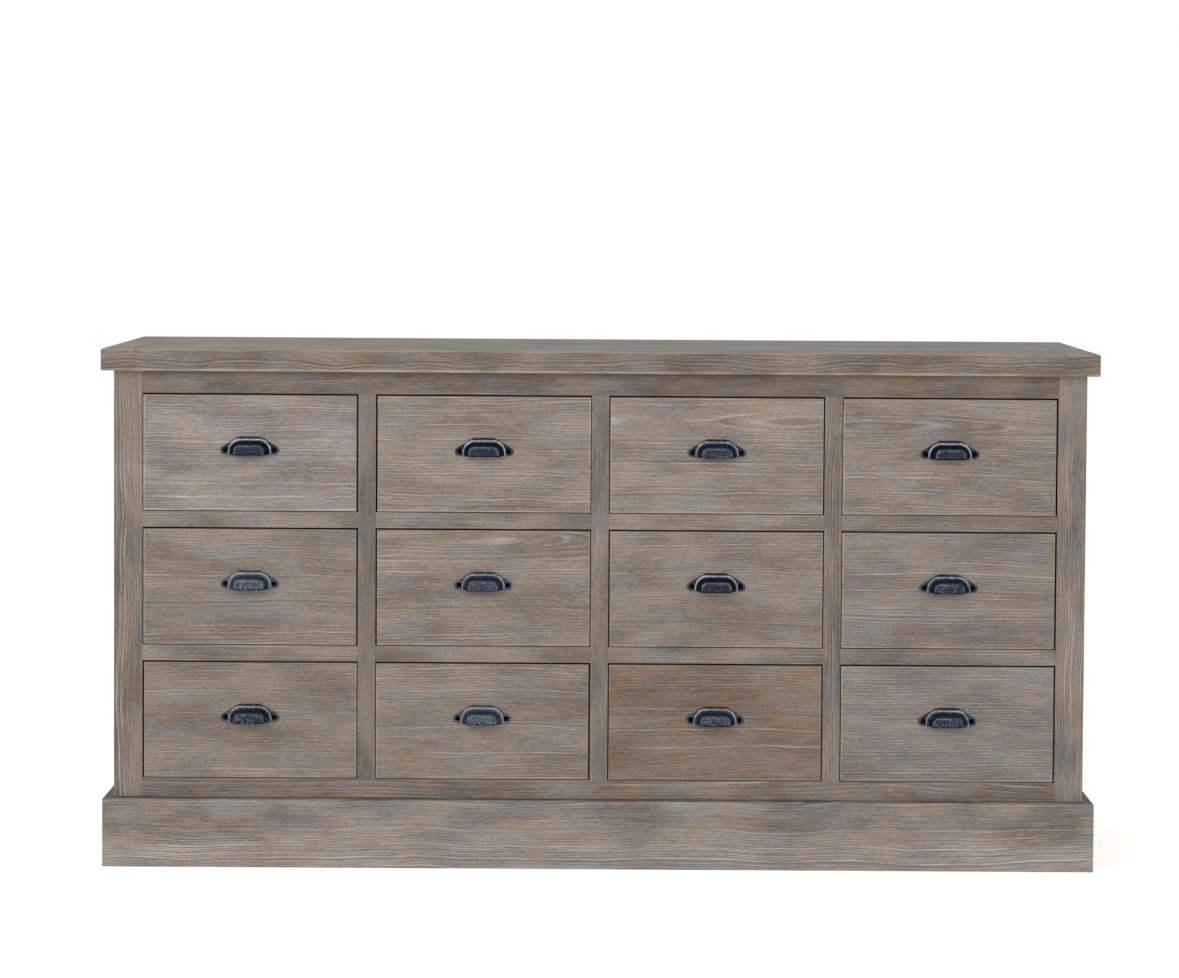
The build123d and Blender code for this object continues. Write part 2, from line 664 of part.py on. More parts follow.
def cup_ring(projection, inset):
    """Points round the cup at one distance from the drawer: foot, shoulders in short chords, flat crown."""
    half_width = CUP_HALF_WIDTH - inset
    radius = half_width - CUP_FLAT_HALF
    shoulder_z = CUP_CROWN - inset * CROWN_SHARE - radius
    turns = [radians(90 * step / SHOULDER_STEPS) for step in range(SHOULDER_STEPS + 1)]
    half = [(half_width, -LUG_RADIUS)]
    half += [(CUP_FLAT_HALF + radius * cos(turn), shoulder_z + radius * sin(turn)) for turn in turns]
    return [(hand * x, -projection, z) for hand in (-1, 1) for x, z in half]


def make_pull_casting():
    """The cast cup: a flange with two lugs, a raised bead, a coved wall, a flat panel and a hollow inside."""
    slope_x, slope_z = FLANGE_SLOPE_END
    foot_x = LUG_SPACING / 2
    bead_top = FLANGE_THICKNESS + BEAD_HEIGHT
    cove_low = FLANGE_THICKNESS + COVE_START
    panel_inset = CUP_HALF_WIDTH - PANEL_HALF_WIDTH
    with BuildPart() as casting:
        with BuildSketch(Plane.XZ):
            with BuildLine():
                Polyline(
                    (-foot_x, -LUG_RADIUS), (-slope_x, slope_z), (-FLANGE_CORNER, FLANGE_CROWN),
                    (FLANGE_CORNER, FLANGE_CROWN), (slope_x, slope_z), (foot_x, -LUG_RADIUS), close=True,
                )
            make_face()
            chamfer(vertices().group_by(Axis.Y)[-1], FLANGE_SHOULDER)
            with Locations(*[(x, 0) for x in screw_x_places]):
                RegularPolygon(LUG_RADIUS, LUG_SIDES, major_radius=False, rotation=180 / LUG_SIDES)
                RegularPolygon(SCREW_RADIUS + SCREW_CLEARANCE, SHANK_SIDES, mode=Mode.SUBTRACT)
        extrude(amount=FLANGE_THICKNESS)
        bead = cup_ring(0.0, 0.0) + cup_ring(bead_top - BEAD_EASE, 0.0) + cup_ring(bead_top, BEAD_EASE)
        ConvexPolyhedron(bead)
        cove_edge = cup_ring(cove_low, BEAD_WIDTH)
        ConvexPolyhedron(cove_edge + cup_ring(bead_top, BEAD_WIDTH - BEAD_EASE), mode=Mode.SUBTRACT)
        cove_middle = cup_ring(COVE_MIDDLE_PROJECTION, COVE_MIDDLE_INSET)
        ConvexPolyhedron(cove_edge + cove_middle)
        ConvexPolyhedron(cove_middle + cup_ring(PANEL_PROJECTION, panel_inset))
        plate_inset = panel_inset + PLATE_INSET
        ConvexPolyhedron(cup_ring(PANEL_PROJECTION, plate_inset) + cup_ring(pull_projection, plate_inset))
        hollow = cup_ring(-CUT_PAST, BEAD_WIDTH + CUP_WALL)
        hollow += cup_ring(PANEL_PROJECTION - CUP_WALL, panel_inset + CUP_WALL)
        hollow += [(x, y, -LUG_RADIUS - CUT_PAST) for x, y, z in hollow]
        ConvexPolyhedron(hollow, mode=Mode.SUBTRACT)
    return casting.part


def make_pull_screw(x):
    """A flat-headed screw through one lug into the drawer front."""
    with BuildPart() as screw:
        with BuildSketch(Plane.XZ.offset(FLANGE_THICKNESS - SCREW_LENGTH)):
            with Locations((x, 0)):
                RegularPolygon(SCREW_RADIUS, SHANK_SIDES)
        extrude(amount=SCREW_LENGTH)
        with BuildSketch(Plane.XZ.offset(FLANGE_THICKNESS)):
            with Locations((x, 0)):
                RegularPolygon(HEAD_RADIUS, HEAD_SIDES)
        extrude(amount=HEAD_HEIGHT)
    return screw.part


def place_group(pieces, label, location):
    """Write a few touching but separate pieces of one drawer as one node, at the drawer's place."""
    group = Compound(children=[piece.moved(location) for piece in pieces])
    save(group, label)


def make_drawers():
    """Twelve equal drawers, numbered from the top left along each row."""
    front = make_drawer_front()
    box = [make_drawer_side(-1), make_drawer_side(1), make_drawer_back(), make_drawer_bottom()]
    pull = [make_pull_casting()] + [make_pull_screw(x) for x in screw_x_places]
    screw_line = front_height / 2 + PULL_RISE
    places = [(x, bottom + drawer_rise) for bottom in opening_bottoms for x in column_centres]
    for number, ((x, low), play) in enumerate(zip(places, SIDE_PLAY), start=1):
        place = Location((x + play, face_y, low))
        save(front.moved(place), f"drawer_{number:02d}_front")
        place_group(box, f"drawer_{number:02d}_box", place)
        place_group(pull, f"drawer_{number:02d}_pull", Location((x + play, face_y, low + screw_line)))


make_top()
make_breadboard_end(-1, "breadboard_end_left")
make_breadboard_end(1, "breadboard_end_right")
make_front_post(-1, "post_front_left")
make_front_post(1, "post_front_right")
make_back_post(-1, "post_back_left")
make_back_post(1, "post_back_right")
make_side_rails()
make_side_panel(-1, "side_panel_left")
make_side_panel(1, "side_panel_right")
make_face_rail(top_rail_z, "face_top_rail", -1)
make_face_rail(bottom_rail_z, "face_bottom_rail", 1)
make_muntins()
make_mid_rails()
make_back_rails()
make_back_panel()
make_bottom_panel()
make_partitions()
make_runners()
make_guides()
make_stops()
make_plinth()
make_top_blocks()
make_drawers()
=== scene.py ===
from dataclasses import dataclass, replace
from math import cos, hypot, pi, radians, sin
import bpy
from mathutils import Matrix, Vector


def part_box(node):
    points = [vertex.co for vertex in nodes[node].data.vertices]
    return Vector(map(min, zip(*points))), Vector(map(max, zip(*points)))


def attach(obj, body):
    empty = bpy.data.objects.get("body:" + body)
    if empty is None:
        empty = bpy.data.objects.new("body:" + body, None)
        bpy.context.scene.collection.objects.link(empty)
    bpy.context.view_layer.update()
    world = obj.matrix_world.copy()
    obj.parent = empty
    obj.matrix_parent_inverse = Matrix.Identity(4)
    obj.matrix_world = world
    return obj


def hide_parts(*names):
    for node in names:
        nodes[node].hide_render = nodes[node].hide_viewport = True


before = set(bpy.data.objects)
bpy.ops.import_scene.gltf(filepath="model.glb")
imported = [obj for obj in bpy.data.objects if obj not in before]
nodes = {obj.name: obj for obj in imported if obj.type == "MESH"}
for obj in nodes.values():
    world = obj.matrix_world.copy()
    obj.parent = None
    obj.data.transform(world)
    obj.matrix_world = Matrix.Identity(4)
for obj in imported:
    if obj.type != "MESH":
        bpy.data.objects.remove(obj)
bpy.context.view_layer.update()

from types import SimpleNamespace

import bmesh
import bpy
from mathutils import Matrix, Vector
from mathutils.geometry import convex_hull_2d

# A twelve-drawer sideboard in weathered wood with cast cup pulls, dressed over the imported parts.
# Metres, in the parts' own frame; names that end in _MM are in millimetres.

scene = bpy.context.scene
scene.view_settings.view_transform = "Standard"
MM = 0.001
MM_PER_METRE = 1000.0
DRAWER_NUMBERS = range(1, 13)

# Camera: where the photograph was taken from, with its angles in radians
IMAGE_WIDTH = 1179
SENSOR_WIDTH = 36.0
FOCAL_PIXELS = 2759.84
SHIFT = (-0.0217, -0.1568)
CAMERA_PLACE = (0.0163, -5.1805, 1.2070)
CAMERA_YAW = 0.00172
CAMERA_PITCH = 0.03658
CAMERA_ROLL = 0.00657

# Layout, read from the parts or fitted to them. A drawer's sides begin at BOX_SIDE_FROM_MM from its middle,
# and beyond POST_GAP_X lie the outer faces of the posts, which border no gap.
top_low, top_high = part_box("top_panel")
front_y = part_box("drawer_01_front")[0].y
top_middle = Vector((0.0, top_low.y, (top_low.z + top_high.z) / 2))
seam_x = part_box("breadboard_end_right")[0].x
COLUMN_PITCH = 0.422
ROW_PITCH = 0.243
FIRST_ROW_Z = 0.752
PLINTH_MIDDLE = 0.0625
BOX_SIDE_FROM_MM = 180.3
POST_GAP_X = 0.842


def srgb(red, green, blue):
    """A colour given as it looks, 0 to 255, turned into the shader's linear values."""
    def linear(value):
        value /= 255
        return value / 12.92 if value <= 0.04045 else ((value + 0.055) / 1.055) ** 2.4
    return (linear(red), linear(green), linear(blue), 1.0)


# Node helpers

class Nodes:
    """Short calls that add nodes to one tree and link them."""

    def __init__(self, tree):
        self.tree = tree

    def link(self, value, socket):
        """Feed a socket from another socket, or set it to a plain value."""
        if isinstance(value, bpy.types.NodeSocket):
            self.tree.links.new(value, socket)
        elif value is not None:
            socket.default_value = value

    def feed(self, node, values):
        """Feed a node's inputs, which go by name or by number."""
        for name, value in dict(values).items():
            self.link(value, node.inputs[name])

    def add(self, kind, values=(), **settings):
        """Add a node, set it up, and feed its inputs."""
        node = self.tree.nodes.new(kind)
        for name, value in settings.items():
            setattr(node, name, value)
        self.feed(node, values)
        return node

    def place(self):
        """The point's place in metres, in the parts' own frame."""
        return self.add("ShaderNodeTexCoord").outputs["Object"]

    def math(self, operation, a, b=None, c=None, clamp=False):
        values = enumerate((a, b, c))
        return self.add("ShaderNodeMath", values, operation=operation, use_clamp=clamp).outputs[0]

    def vector(self, operation, a, b=None, c=None):
        node = self.add("ShaderNodeVectorMath", enumerate((a, b, c)), operation=operation)
        return node.outputs["Value" if operation == "LENGTH" else "Vector"]

    def scaled(self, vector, factor):
        return self.vector("MULTIPLY", vector, (factor, factor, factor))

    def split(self, vector):
        return self.add("ShaderNodeSeparateXYZ", {"Vector": vector}).outputs

    def join(self, x, y, z):
        return self.add("ShaderNodeCombineXYZ", {"X": x, "Y": y, "Z": z}).outputs[0]

    def noise(self, vector, detail=2.0, roughness=0.5):
        values = {"Vector": vector, "Scale": 1.0, "Detail": detail, "Roughness": roughness}
        return self.add("ShaderNodeTexNoise", values).outputs["Fac"]

    def remap(self, value, low, high, to_low=0.0, to_high=1.0, smooth=False):
        kind = "SMOOTHSTEP" if smooth else "LINEAR"
        values = {"Value": value, "From Min": low, "From Max": high, "To Min": to_low, "To Max": to_high}
        return self.add("ShaderNodeMapRange", values, interpolation_type=kind).outputs[0]

    def swing(self, value, reach):
        """A value from 0 to 1 stretched to lie between -reach and reach."""
        return self.remap(value, 0.0, 1.0, -reach, reach)

    # A Mix node has a pair of inputs called A and B for each kind of value, so here they go by number

    def mix(self, factor, a, b):
        """Mix two colours."""
        return self.add("ShaderNodeMix", {0: factor, 6: a, 7: b}, data_type="RGBA").outputs[2]

    def mix_vectors(self, factor, a, b):
        return self.add("ShaderNodeMix", {0: factor, 4: a, 5: b}, data_type="VECTOR").outputs[1]

    def bump(self, height, strength, distance):
        """A normal roughened by a height."""
        values = {"Height": height, "Strength": strength, "Distance": distance}
        return self.add("ShaderNodeBump", values).outputs[0]

    def seen(self):
        """1 where the camera sees the point, or sees it in metal or through glass, and 0 for other rays."""
        path = self.add("ShaderNodeLightPath").outputs
        indirectly = self.math("MAXIMUM", path["Is Glossy Ray"], path["Is Transmission Ray"])
        return self.math("MAXIMUM", path["Is Camera Ray"], indirectly)


def cleared(owner):
    """Empty the node tree of a material or world, and return the helper for it."""
    owner.use_nodes = True
    owner.node_tree.nodes.clear()
    return Nodes(owner.node_tree)


def new_material(name):
    """A material that holds a shader and an output; returns it, its helper and its shader."""
    material = bpy.data.materials.new(name)
    n = cleared(material)
    shader = n.add("ShaderNodeBsdfPrincipled")
    n.add("ShaderNodeOutputMaterial", {"Surface": shader.outputs[0]})
    return material, n, shader


def new_group(name, vectors, numbers, results):
    """A node group; returns it, its helper, what it is given and what it has to work out."""
    group = bpy.data.node_groups.new(name, "ShaderNodeTree")
    for label in vectors:
        group.interface.new_socket(label, in_out="INPUT", socket_type="NodeSocketVector")
    for label in numbers:
        group.interface.new_socket(label, in_out="INPUT", socket_type="NodeSocketFloat")
    for label in results:
        group.interface.new_socket(label, in_out="OUTPUT", socket_type="NodeSocketFloat")
    source = group.nodes.new("NodeGroupInput")
    sink = group.nodes.new("NodeGroupOutput")
    return group, Nodes(group), source.outputs, sink.inputs


# Grain

# How far boards lie apart in the noise, how far rings wander across and into a board, how uneven they are,
# and the frequency of that per millimetre
BOARD_SPREAD_MM = 900.0
SWAY_MM = 16.0
RIPPLE_MM = 2.4
LIFT_MM = 30.0
UNEVEN_MM = 9.0
UNEVEN_FREQUENCY = 0.07

# Noises: frequency along and across the grain per millimetre, detail, roughness and offset. The first three
# bend the rings, BREAKS interrupts them, and the fields follow them.
SWAY = (0.0019, 0.004, 1.0, 0.5, 0.0)
RIPPLE = (0.010, 0.030, 1.5, 0.5, 57.0)
LIFT = (0.0014, 0.003, 1.0, 0.5, 311.0)
BREAKS = (0.011, 0.16, 3.0, 0.6, 23.0)
GRAIN_FIELDS = {
    "Fibre": (0.017, 0.40, 3.0, 0.72, 0.0),
    "Fine": (0.12, 0.58, 3.0, 0.68, 91.0),
    "Patch": (0.0060, 0.016, 2.0, 0.5, 140.0),
    "Tint": (0.0105, 0.036, 3.0, 0.6, 77.0),
    "Wash": (0.010, 0.055, 3.0, 0.6, 541.0),
}

# Where in a ring, from 0 to 1, its pale part and its dark line begin, are full, fade and end
PALE_BAND = (0.0, 0.1, 0.14, 0.36)
DARK_BAND = (0.62, 0.9, 0.94, 1.0)

# The least and the most that a board's depth and ring width can be, as shares of what its look says
DEPTH_SHARES = (0.6, 1.6)
SPACING_SHARES = (0.8, 1.25)


def make_grain_group():
    """Growth rings cut by a board's faces, with fibres and soft patches.

    Place is in millimetres: along the grain, across the face, into the depth. Heart and Depth say where the
    tree's heart line lies, and Spacing how wide a ring is. Light and Dark are the pale and the dark part of
    each ring.
    """
    results = ("Light", "Dark", *GRAIN_FIELDS)
    group, n, given, result = new_group("grain", ("Place", "Seed"), ("Heart", "Depth", "Spacing"), results)
    spread = (BOARD_SPREAD_MM, BOARD_SPREAD_MM, BOARD_SPREAD_MM)
    shifted = n.vector("MULTIPLY_ADD", given["Seed"], spread, given["Place"])
    across, deep = n.split(given["Place"])[1:]

    def field(place, along_grain, across_grain, detail, roughness, offset):
        moved = n.vector("ADD", place, (offset, offset, offset))
        frequency = (along_grain, across_grain, across_grain)
        return n.noise(n.vector("MULTIPLY", moved, frequency), detail, roughness)

    def band(value, begins, full, fades, ends):
        rise = n.remap(value, begins, full, smooth=True)
        return n.math("MULTIPLY", rise, n.remap(value, ends, fades, smooth=True))

    sway = n.swing(field(shifted, *SWAY), SWAY_MM)
    ripple = n.swing(field(shifted, *RIPPLE), RIPPLE_MM)
    lift = n.swing(field(shifted, *LIFT), LIFT_MM)
    moved_across = n.math("ADD", n.math("ADD", across, sway), ripple)
    heart_across = n.math("SUBTRACT", moved_across, given["Heart"])
    heart_deep = n.math("ADD", n.math("ADD", deep, lift), given["Depth"])
    radius = n.vector("LENGTH", n.join(heart_across, heart_deep, 0.0))
    outwards = n.join(n.math("MULTIPLY", radius, UNEVEN_FREQUENCY), 0.0, 0.0)
    uneven = n.noise(n.vector("ADD", outwards, given["Seed"]))
    radius = n.math("ADD", radius, n.swing(uneven, UNEVEN_MM))

    # From 0 to 1 a ring begins pale, fades, and ends in a dark line
    ring = n.math("FRACT", n.math("DIVIDE", radius, given["Spacing"]))
    light = band(ring, *PALE_BAND)
    dark = band(ring, *DARK_BAND)
    shifted_parts = n.split(shifted)
    shift_across = n.math("MULTIPLY", n.split(given["Seed"])[1], BOARD_SPREAD_MM)
    followed = n.join(shifted_parts[0], n.math("ADD", moved_across, shift_across), shifted_parts[2])
    broken = n.remap(field(followed, *BREAKS), 0.36, 0.64)
    n.link(n.math("MULTIPLY", light, broken), result["Light"])
    n.link(n.math("MULTIPLY", dark, n.remap(broken, 0.0, 1.0, 0.55, 1.0)), result["Dark"])
    for label, settings in GRAIN_FIELDS.items():
        n.link(field(followed, *settings), result[label])
    return group


grain_group = make_grain_group()

# Boards of one part lie in cells. Each axis has the pitch of its cells, and what is added to a place before
# it is divided by the pitch. A pitch of WHOLE leaves one cell, and SIDE one at the left and one at the right.
WHOLE = 50.0


def one_cell(middle=0.0):
    """The pitch and offset of a single cell round a middle."""
    return WHOLE, WHOLE / 2 - middle


ONE = one_cell()
FACE = one_cell(front_y)
TOP_HEIGHT = one_cell(top_middle.z)
PLINTH_HEIGHT = one_cell(PLINTH_MIDDLE)
SIDE = (1.7, 1.7)
COLUMN = (COLUMN_PITCH, 2 * COLUMN_PITCH)
BETWEEN_COLUMNS = (COLUMN_PITCH, 2.5 * COLUMN_PITCH)

TOP_BOARDS = (ONE, (0.113, 0.223), TOP_HEIGHT)
TOP_ENDS = (SIDE, ONE, TOP_HEIGHT)
CORNERS = (SIDE, (0.43, 0.835), ONE)
SIDE_RAILS = (SIDE, ONE, (0.9, 0.45))
SIDE_BOARDS = (SIDE, (0.14, 0.563), ONE)
PLINTH_SIDES = (SIDE, ONE, PLINTH_HEIGHT)
PLINTH = (ONE, FACE, PLINTH_HEIGHT)
LONG_RAILS = (ONE, FACE, ONE)
COLUMNS = (COLUMN, ONE, ONE)
MUNTINS = (BETWEEN_COLUMNS, FACE, ONE)
DRAWERS = (COLUMN, FACE, (ROW_PITCH, 4.5 * ROW_PITCH - FIRST_ROW_Z))
RAILS = (COLUMN, FACE, (ROW_PITCH, 5 * ROW_PITCH - FIRST_ROW_Z))
BACK_BOARDS = ((0.19, 0.855), ONE, ONE)

# What a material's number is multiplied by, to give its boards random vectors of their own
SEED_STEPS = (7.31, 3.17, 1.73)


def in_board(n, position, axes, cells, number):
    """Where a point lies in its board, in millimetres along, across and deep, and the board's random vector.

    Without cells the part is one board, and its middle is the origin.
    """
    inside = position
    key = tuple(number * step for step in SEED_STEPS)
    if cells:
        pitch, offset = zip(*cells)
        moved = n.vector("ADD", position, offset)
        cell = n.vector("FLOOR", n.vector("DIVIDE", moved, pitch))
        middle = n.vector("MULTIPLY", n.vector("ADD", cell, (0.5, 0.5, 0.5)), pitch)
        inside = n.vector("SUBTRACT", moved, middle)
        key = n.vector("ADD", cell, key)
    seed = n.add("ShaderNodeTexWhiteNoise", {"Vector": key}).outputs["Color"]
    parts = n.split(n.scaled(inside, MM_PER_METRE))
    return n.join(*[parts[letter] for letter in axes.upper()]), seed


def add_grain(n, place, seed, heart, depth, spacing):
    """The grain group's outputs, with its heart line and ring width drawn from the board's random vector.

    The heart is a pair of distances to draw from, on either side, or one signed distance across the board.
    """
    random = n.split(seed)
    if isinstance(heart, tuple):
        from_half = n.math("SUBTRACT", random[0], 0.5)
        away = n.remap(n.math("ABSOLUTE", from_half), 0.0, 0.5, *heart)
        heart = n.math("MULTIPLY", n.math("SIGN", from_half), away)
    values = {
        "Place": place,
        "Seed": seed,
        "Heart": heart,
        "Depth": n.remap(random[2], 0.0, 1.0, *[depth * share for share in DEPTH_SHARES]),
        "Spacing": n.remap(random[1], 0.0, 1.0, *[spacing * share for share in SPACING_SHARES]),
    }
    return n.add("ShaderNodeGroup", values, node_tree=grain_group).outputs


# Weathered wood

BOARD_DARK = srgb(124, 113, 103)
BOARD_PALE = srgb(154, 142, 131)
TAN = srgb(159, 137, 116)
LOW_TAN = srgb(162, 152, 144)
BLUE_GREY = srgb(131, 134, 137)
RING_DARK = srgb(86, 73, 63)
LIME = srgb(194, 187, 180)
WORN_EDGE = srgb(186, 170, 152)
WORN_BROWN_EDGE = srgb(180, 157, 137)
WORN_RIM = srgb(204, 190, 172)
WORN_TOP_EDGE = srgb(204, 187, 166)
TOP_GREY = srgb(124, 129, 128)

# Where on its noise a tint begins and is full, how strong dark rings are, and the least and the most lime, as
# shares of what the look says
PATCH_SPAN = (0.34, 0.66)
TAN_SPAN = (0.50, 0.66)
BLUE_SPAN = (0.49, 0.33)
WASH_SPAN = (0.35, 0.62)
RING_STRENGTH = 0.40
LIME_SHARES = (0.3, 1.2)

# Streaks over the stain: their noise, where they begin, where they are full, how strong they are, and their
# colour
STREAKS = (
    ("Fibre", 0.50, 0.25, 0.40, srgb(88, 76, 66)),
    ("Fibre", 0.54, 0.75, 0.30, srgb(176, 166, 156)),
    ("Fine", 0.50, 0.25, 0.66, srgb(84, 72, 63)),
    ("Fine", 0.54, 0.75, 0.52, srgb(190, 181, 171)),
)

# Directions, as a part of a face's normal: its largest part where wear on eased edges begins and is full, the
# upward part below which a face is upright, that between which it turns upward, and the part to the front or
# back from which a face of the top is its front or back
EASED = (0.99, 0.93)
UPRIGHT = 0.3
UPWARD = (0.9, 0.99)
FRONTWARD = 0.6

# The grain's swirl: noise frequency along, across and into a board; and the share of a place's depth that
# counts on the front and back of the top
SWIRL_FREQUENCY = (0.005, 0.002, 0.002)
FRONT_SHARES = (1.0, 1.0, 0.15)

# Near the floor: the heights between which the tan and the lime grow, the lime's factor at each, and how far
# these heights wander
LOW_TAN_HEIGHTS = (0.075, 0.02)
LOW_LIME_HEIGHTS = (0.085, 0.03)
LOW_LIME_FACTORS = (0.7, 1.5)
LOW_WANDER = 0.06

# Brushed and planed wood: the height of its grain in the shading, in metres, and its roughness, as the span
# of the noise and what it gives at each end
BRUSHED_DEPTH = 0.0004
PLANED_DEPTH = 0.0003
BRUSHED_ROUGHNESS = (0.3, 0.7, 0.74, 0.58)
PLANED_ROUGHNESS = (0.3, 0.7, 0.72, 0.58)

# Wear comes in patches: the span of their noise, and the least and the most wear, on eased edges, on rims and
# on the lower edge of the top
EDGE_PATCHES = (0.3, 0.55, 0.35, 0.9)
RIM_PATCHES = (0.35, 0.6, 0.15, 0.75)
TOP_EDGE_PATCHES = (0.35, 0.6, 0.1, 0.85)

# A face's rubbed rim begins this far inside its edge, and is full nearer to it
RIM_FROM_MM = 2.2
RIM_FULL_MM = 0.6

# The top's rubbed lower edge: heights above its underside where it ends and where it is full
TOP_EDGE_END = 0.0052
TOP_EDGE_FULL = 0.0034

# The seams between the top and its breadboard ends: the distances between which wear fades in, those between
# which the dark line fades out, the brightness in the line, and what is added to a distance on upright faces,
# which keeps the line off them
SEAM_WEAR = (0.0008, 0.002)
SEAM_LINE = (0.0006, 0.0016)
SEAM_TONE = 0.5
SEAM_UPRIGHT = 0.0016

# The depth over which painted shade darkens the sides of the gaps round the fronts, and how far behind
# the fronts it does
GAP_FADE = 0.0006
GAP_END = 0.0205


@dataclass(frozen=True)
class Look:
    """How the boards of one weathered material are cut, stained and worn."""

    # The axes that run along, across and into a board, the boards' cells, and the number that seeds them
    axes: str
    cells: tuple
    number: int

    # Rings, in millimetres: heart, depth and spacing as add_grain takes them, and how far the grain swirls.
    # Bold is how strong their dark lines are.
    heart: tuple | float = (50.0, 180.0)
    depth: float = 35.0
    spacing: float = 4.4
    swirl: float = 0.0
    bold: float = 1.0

    # Brightness: its mean, how far boards and patches leave it, a change from one height to another with the
    # factor at each, and the factor on upward faces
    tone: float = 1.0
    vary: float = 0.05
    patchy: float = 0.0
    fall: tuple | None = None
    top_tone: float = 1.0

    # Colour: how strong the tan and blue-grey tints are, the tan near the floor, the grey on upward faces and
    # the lime, then the saturation, and the hue, which is left alone at 0.5
    warm: float = 0.5
    grey: float = 0.6
    low_tan: float = 0.0
    top_grey: float = 0.0
    lime: float = 0.55
    saturation: float = 1.0
    hue: float = 0.5

    # Wear: how strong it is on eased edges and its colour, and half the length and width in millimetres of a
    # face that has a rubbed rim
    wear: float = 1.0
    edge_colour: tuple = WORN_EDGE
    rim: tuple | None = None

    # Painted shade in the gaps between the fronts and the frame: the brightness it leaves, how far behind
    # the fronts it begins, and the distance from the middle beyond which it doesn't darken
    painted_gap_tone: float | None = None
    gap_from: float = 0.0001
    gap_within: float | None = None

    # The top has a grain of its own on its front and back, seams to its ends, and a rubbed lower edge
    is_top: bool = False


def grain_place(n, look, at):
    """Where the grain is read: across the front and back of the top, and with a swirl."""
    place = at.board
    if look.is_top:
        from_middle = n.vector("SUBTRACT", at.position, top_middle)
        other = in_board(n, from_middle, "xzy", None, look.number)[0]
        other = n.vector("MULTIPLY", other, FRONT_SHARES)
        place = n.mix_vectors(n.math("GREATER_THAN", at.facing[1], FRONTWARD), place, other)
    if look.swirl:
        bend = n.noise(n.vector("MULTIPLY", place, SWIRL_FREQUENCY), detail=1.5)
        place = n.vector("ADD", place, n.join(0.0, n.swing(bend, look.swirl), 0.0))
    return place


def stained_colour(n, look, grain, at):
    """Stain with tan and blue-grey tints, streaks of fibre, dark rings and lime in the pale ones."""
    colour = n.mix(n.remap(grain["Patch"], *PATCH_SPAN, smooth=True), BOARD_DARK, BOARD_PALE)
    tan = n.math("MULTIPLY", n.remap(grain["Tint"], *TAN_SPAN, smooth=True), look.warm)
    colour = n.mix(tan, colour, TAN)
    if look.low_tan:
        height = n.math("ADD", at.z, n.swing(grain["Wash"], LOW_WANDER))
        low_tan = n.remap(height, *LOW_TAN_HEIGHTS, 0.0, look.low_tan, smooth=True)
        colour = n.mix(low_tan, colour, LOW_TAN)
    blue = n.math("MULTIPLY", n.remap(grain["Tint"], *BLUE_SPAN, smooth=True), look.grey)
    colour = n.mix(blue, colour, BLUE_GREY)
    for field, begins, full, strength, streak in STREAKS:
        colour = n.mix(n.remap(grain[field], begins, full, 0.0, strength), colour, streak)
    colour = n.mix(n.math("MULTIPLY", grain["Dark"], RING_STRENGTH * look.bold), colour, RING_DARK)
    washed = n.remap(grain["Wash"], *WASH_SPAN, *[share * look.lime for share in LIME_SHARES])
    limed = n.math("MULTIPLY", grain["Light"], washed)
    if look.low_tan:
        low_lime = n.remap(height, *LOW_LIME_HEIGHTS, *LOW_LIME_FACTORS)
        limed = n.math("MULTIPLY", limed, low_lime, clamp=True)
    return n.mix(limed, colour, LIME)


def worn_colour(n, look, grain, at, colour):
    """The colour with its edges rubbed pale, and greyed where it faces up."""
    largest = n.math("MAXIMUM", n.math("MAXIMUM", at.facing[0], at.facing[1]), at.facing[2])
    edge = n.math("MULTIPLY", n.remap(largest, *EASED), look.wear)
    if look.is_top:
        edge = n.math("MULTIPLY", edge, n.remap(at.off_seam, *SEAM_WEAR))
    edge = n.math("MULTIPLY", edge, n.remap(grain["Wash"], *EDGE_PATCHES))
    colour = n.mix(edge, colour, look.edge_colour)
    if look.rim:
        distances = n.split(n.vector("ABSOLUTE", at.board))
        near = [n.remap(distance, half - RIM_FROM_MM, half - RIM_FULL_MM)
                for distance, half in zip(distances, look.rim)]
        worn = n.math("MULTIPLY", n.math("MAXIMUM", *near), n.remap(grain["Wash"], *RIM_PATCHES))
        colour = n.mix(n.math("MULTIPLY", worn, n.math("LESS_THAN", at.up, UPRIGHT)), colour, WORN_RIM)
    if look.is_top:
        low = n.remap(at.z, top_low.z + TOP_EDGE_END, top_low.z + TOP_EDGE_FULL)
        low = n.math("MULTIPLY", low, n.remap(at.up, 0.5, UPRIGHT))
        worn = n.math("MULTIPLY", low, n.remap(grain["Wash"], *TOP_EDGE_PATCHES))
        colour = n.mix(worn, colour, WORN_TOP_EDGE)
    if look.top_grey:
        upward = n.remap(at.up, *UPWARD)
        colour = n.mix(n.math("MULTIPLY", upward, look.top_grey), colour, TOP_GREY)
    return colour


def painted_gap_shade(n, look, at):
    """The factor of painted shade that darkens the sides of the gaps round the fronts."""
    begins = front_y + look.gap_from
    shade = n.remap(at.y, begins, begins + GAP_FADE, 0.0, 1.0 - look.painted_gap_tone)
    shade = n.math("MULTIPLY", shade, n.math("LESS_THAN", at.y, front_y + GAP_END))
    if look.gap_within:
        shade = n.math("MULTIPLY", shade, n.math("LESS_THAN", n.math("ABSOLUTE", at.x), look.gap_within))
    return n.math("SUBTRACT", 1.0, shade)


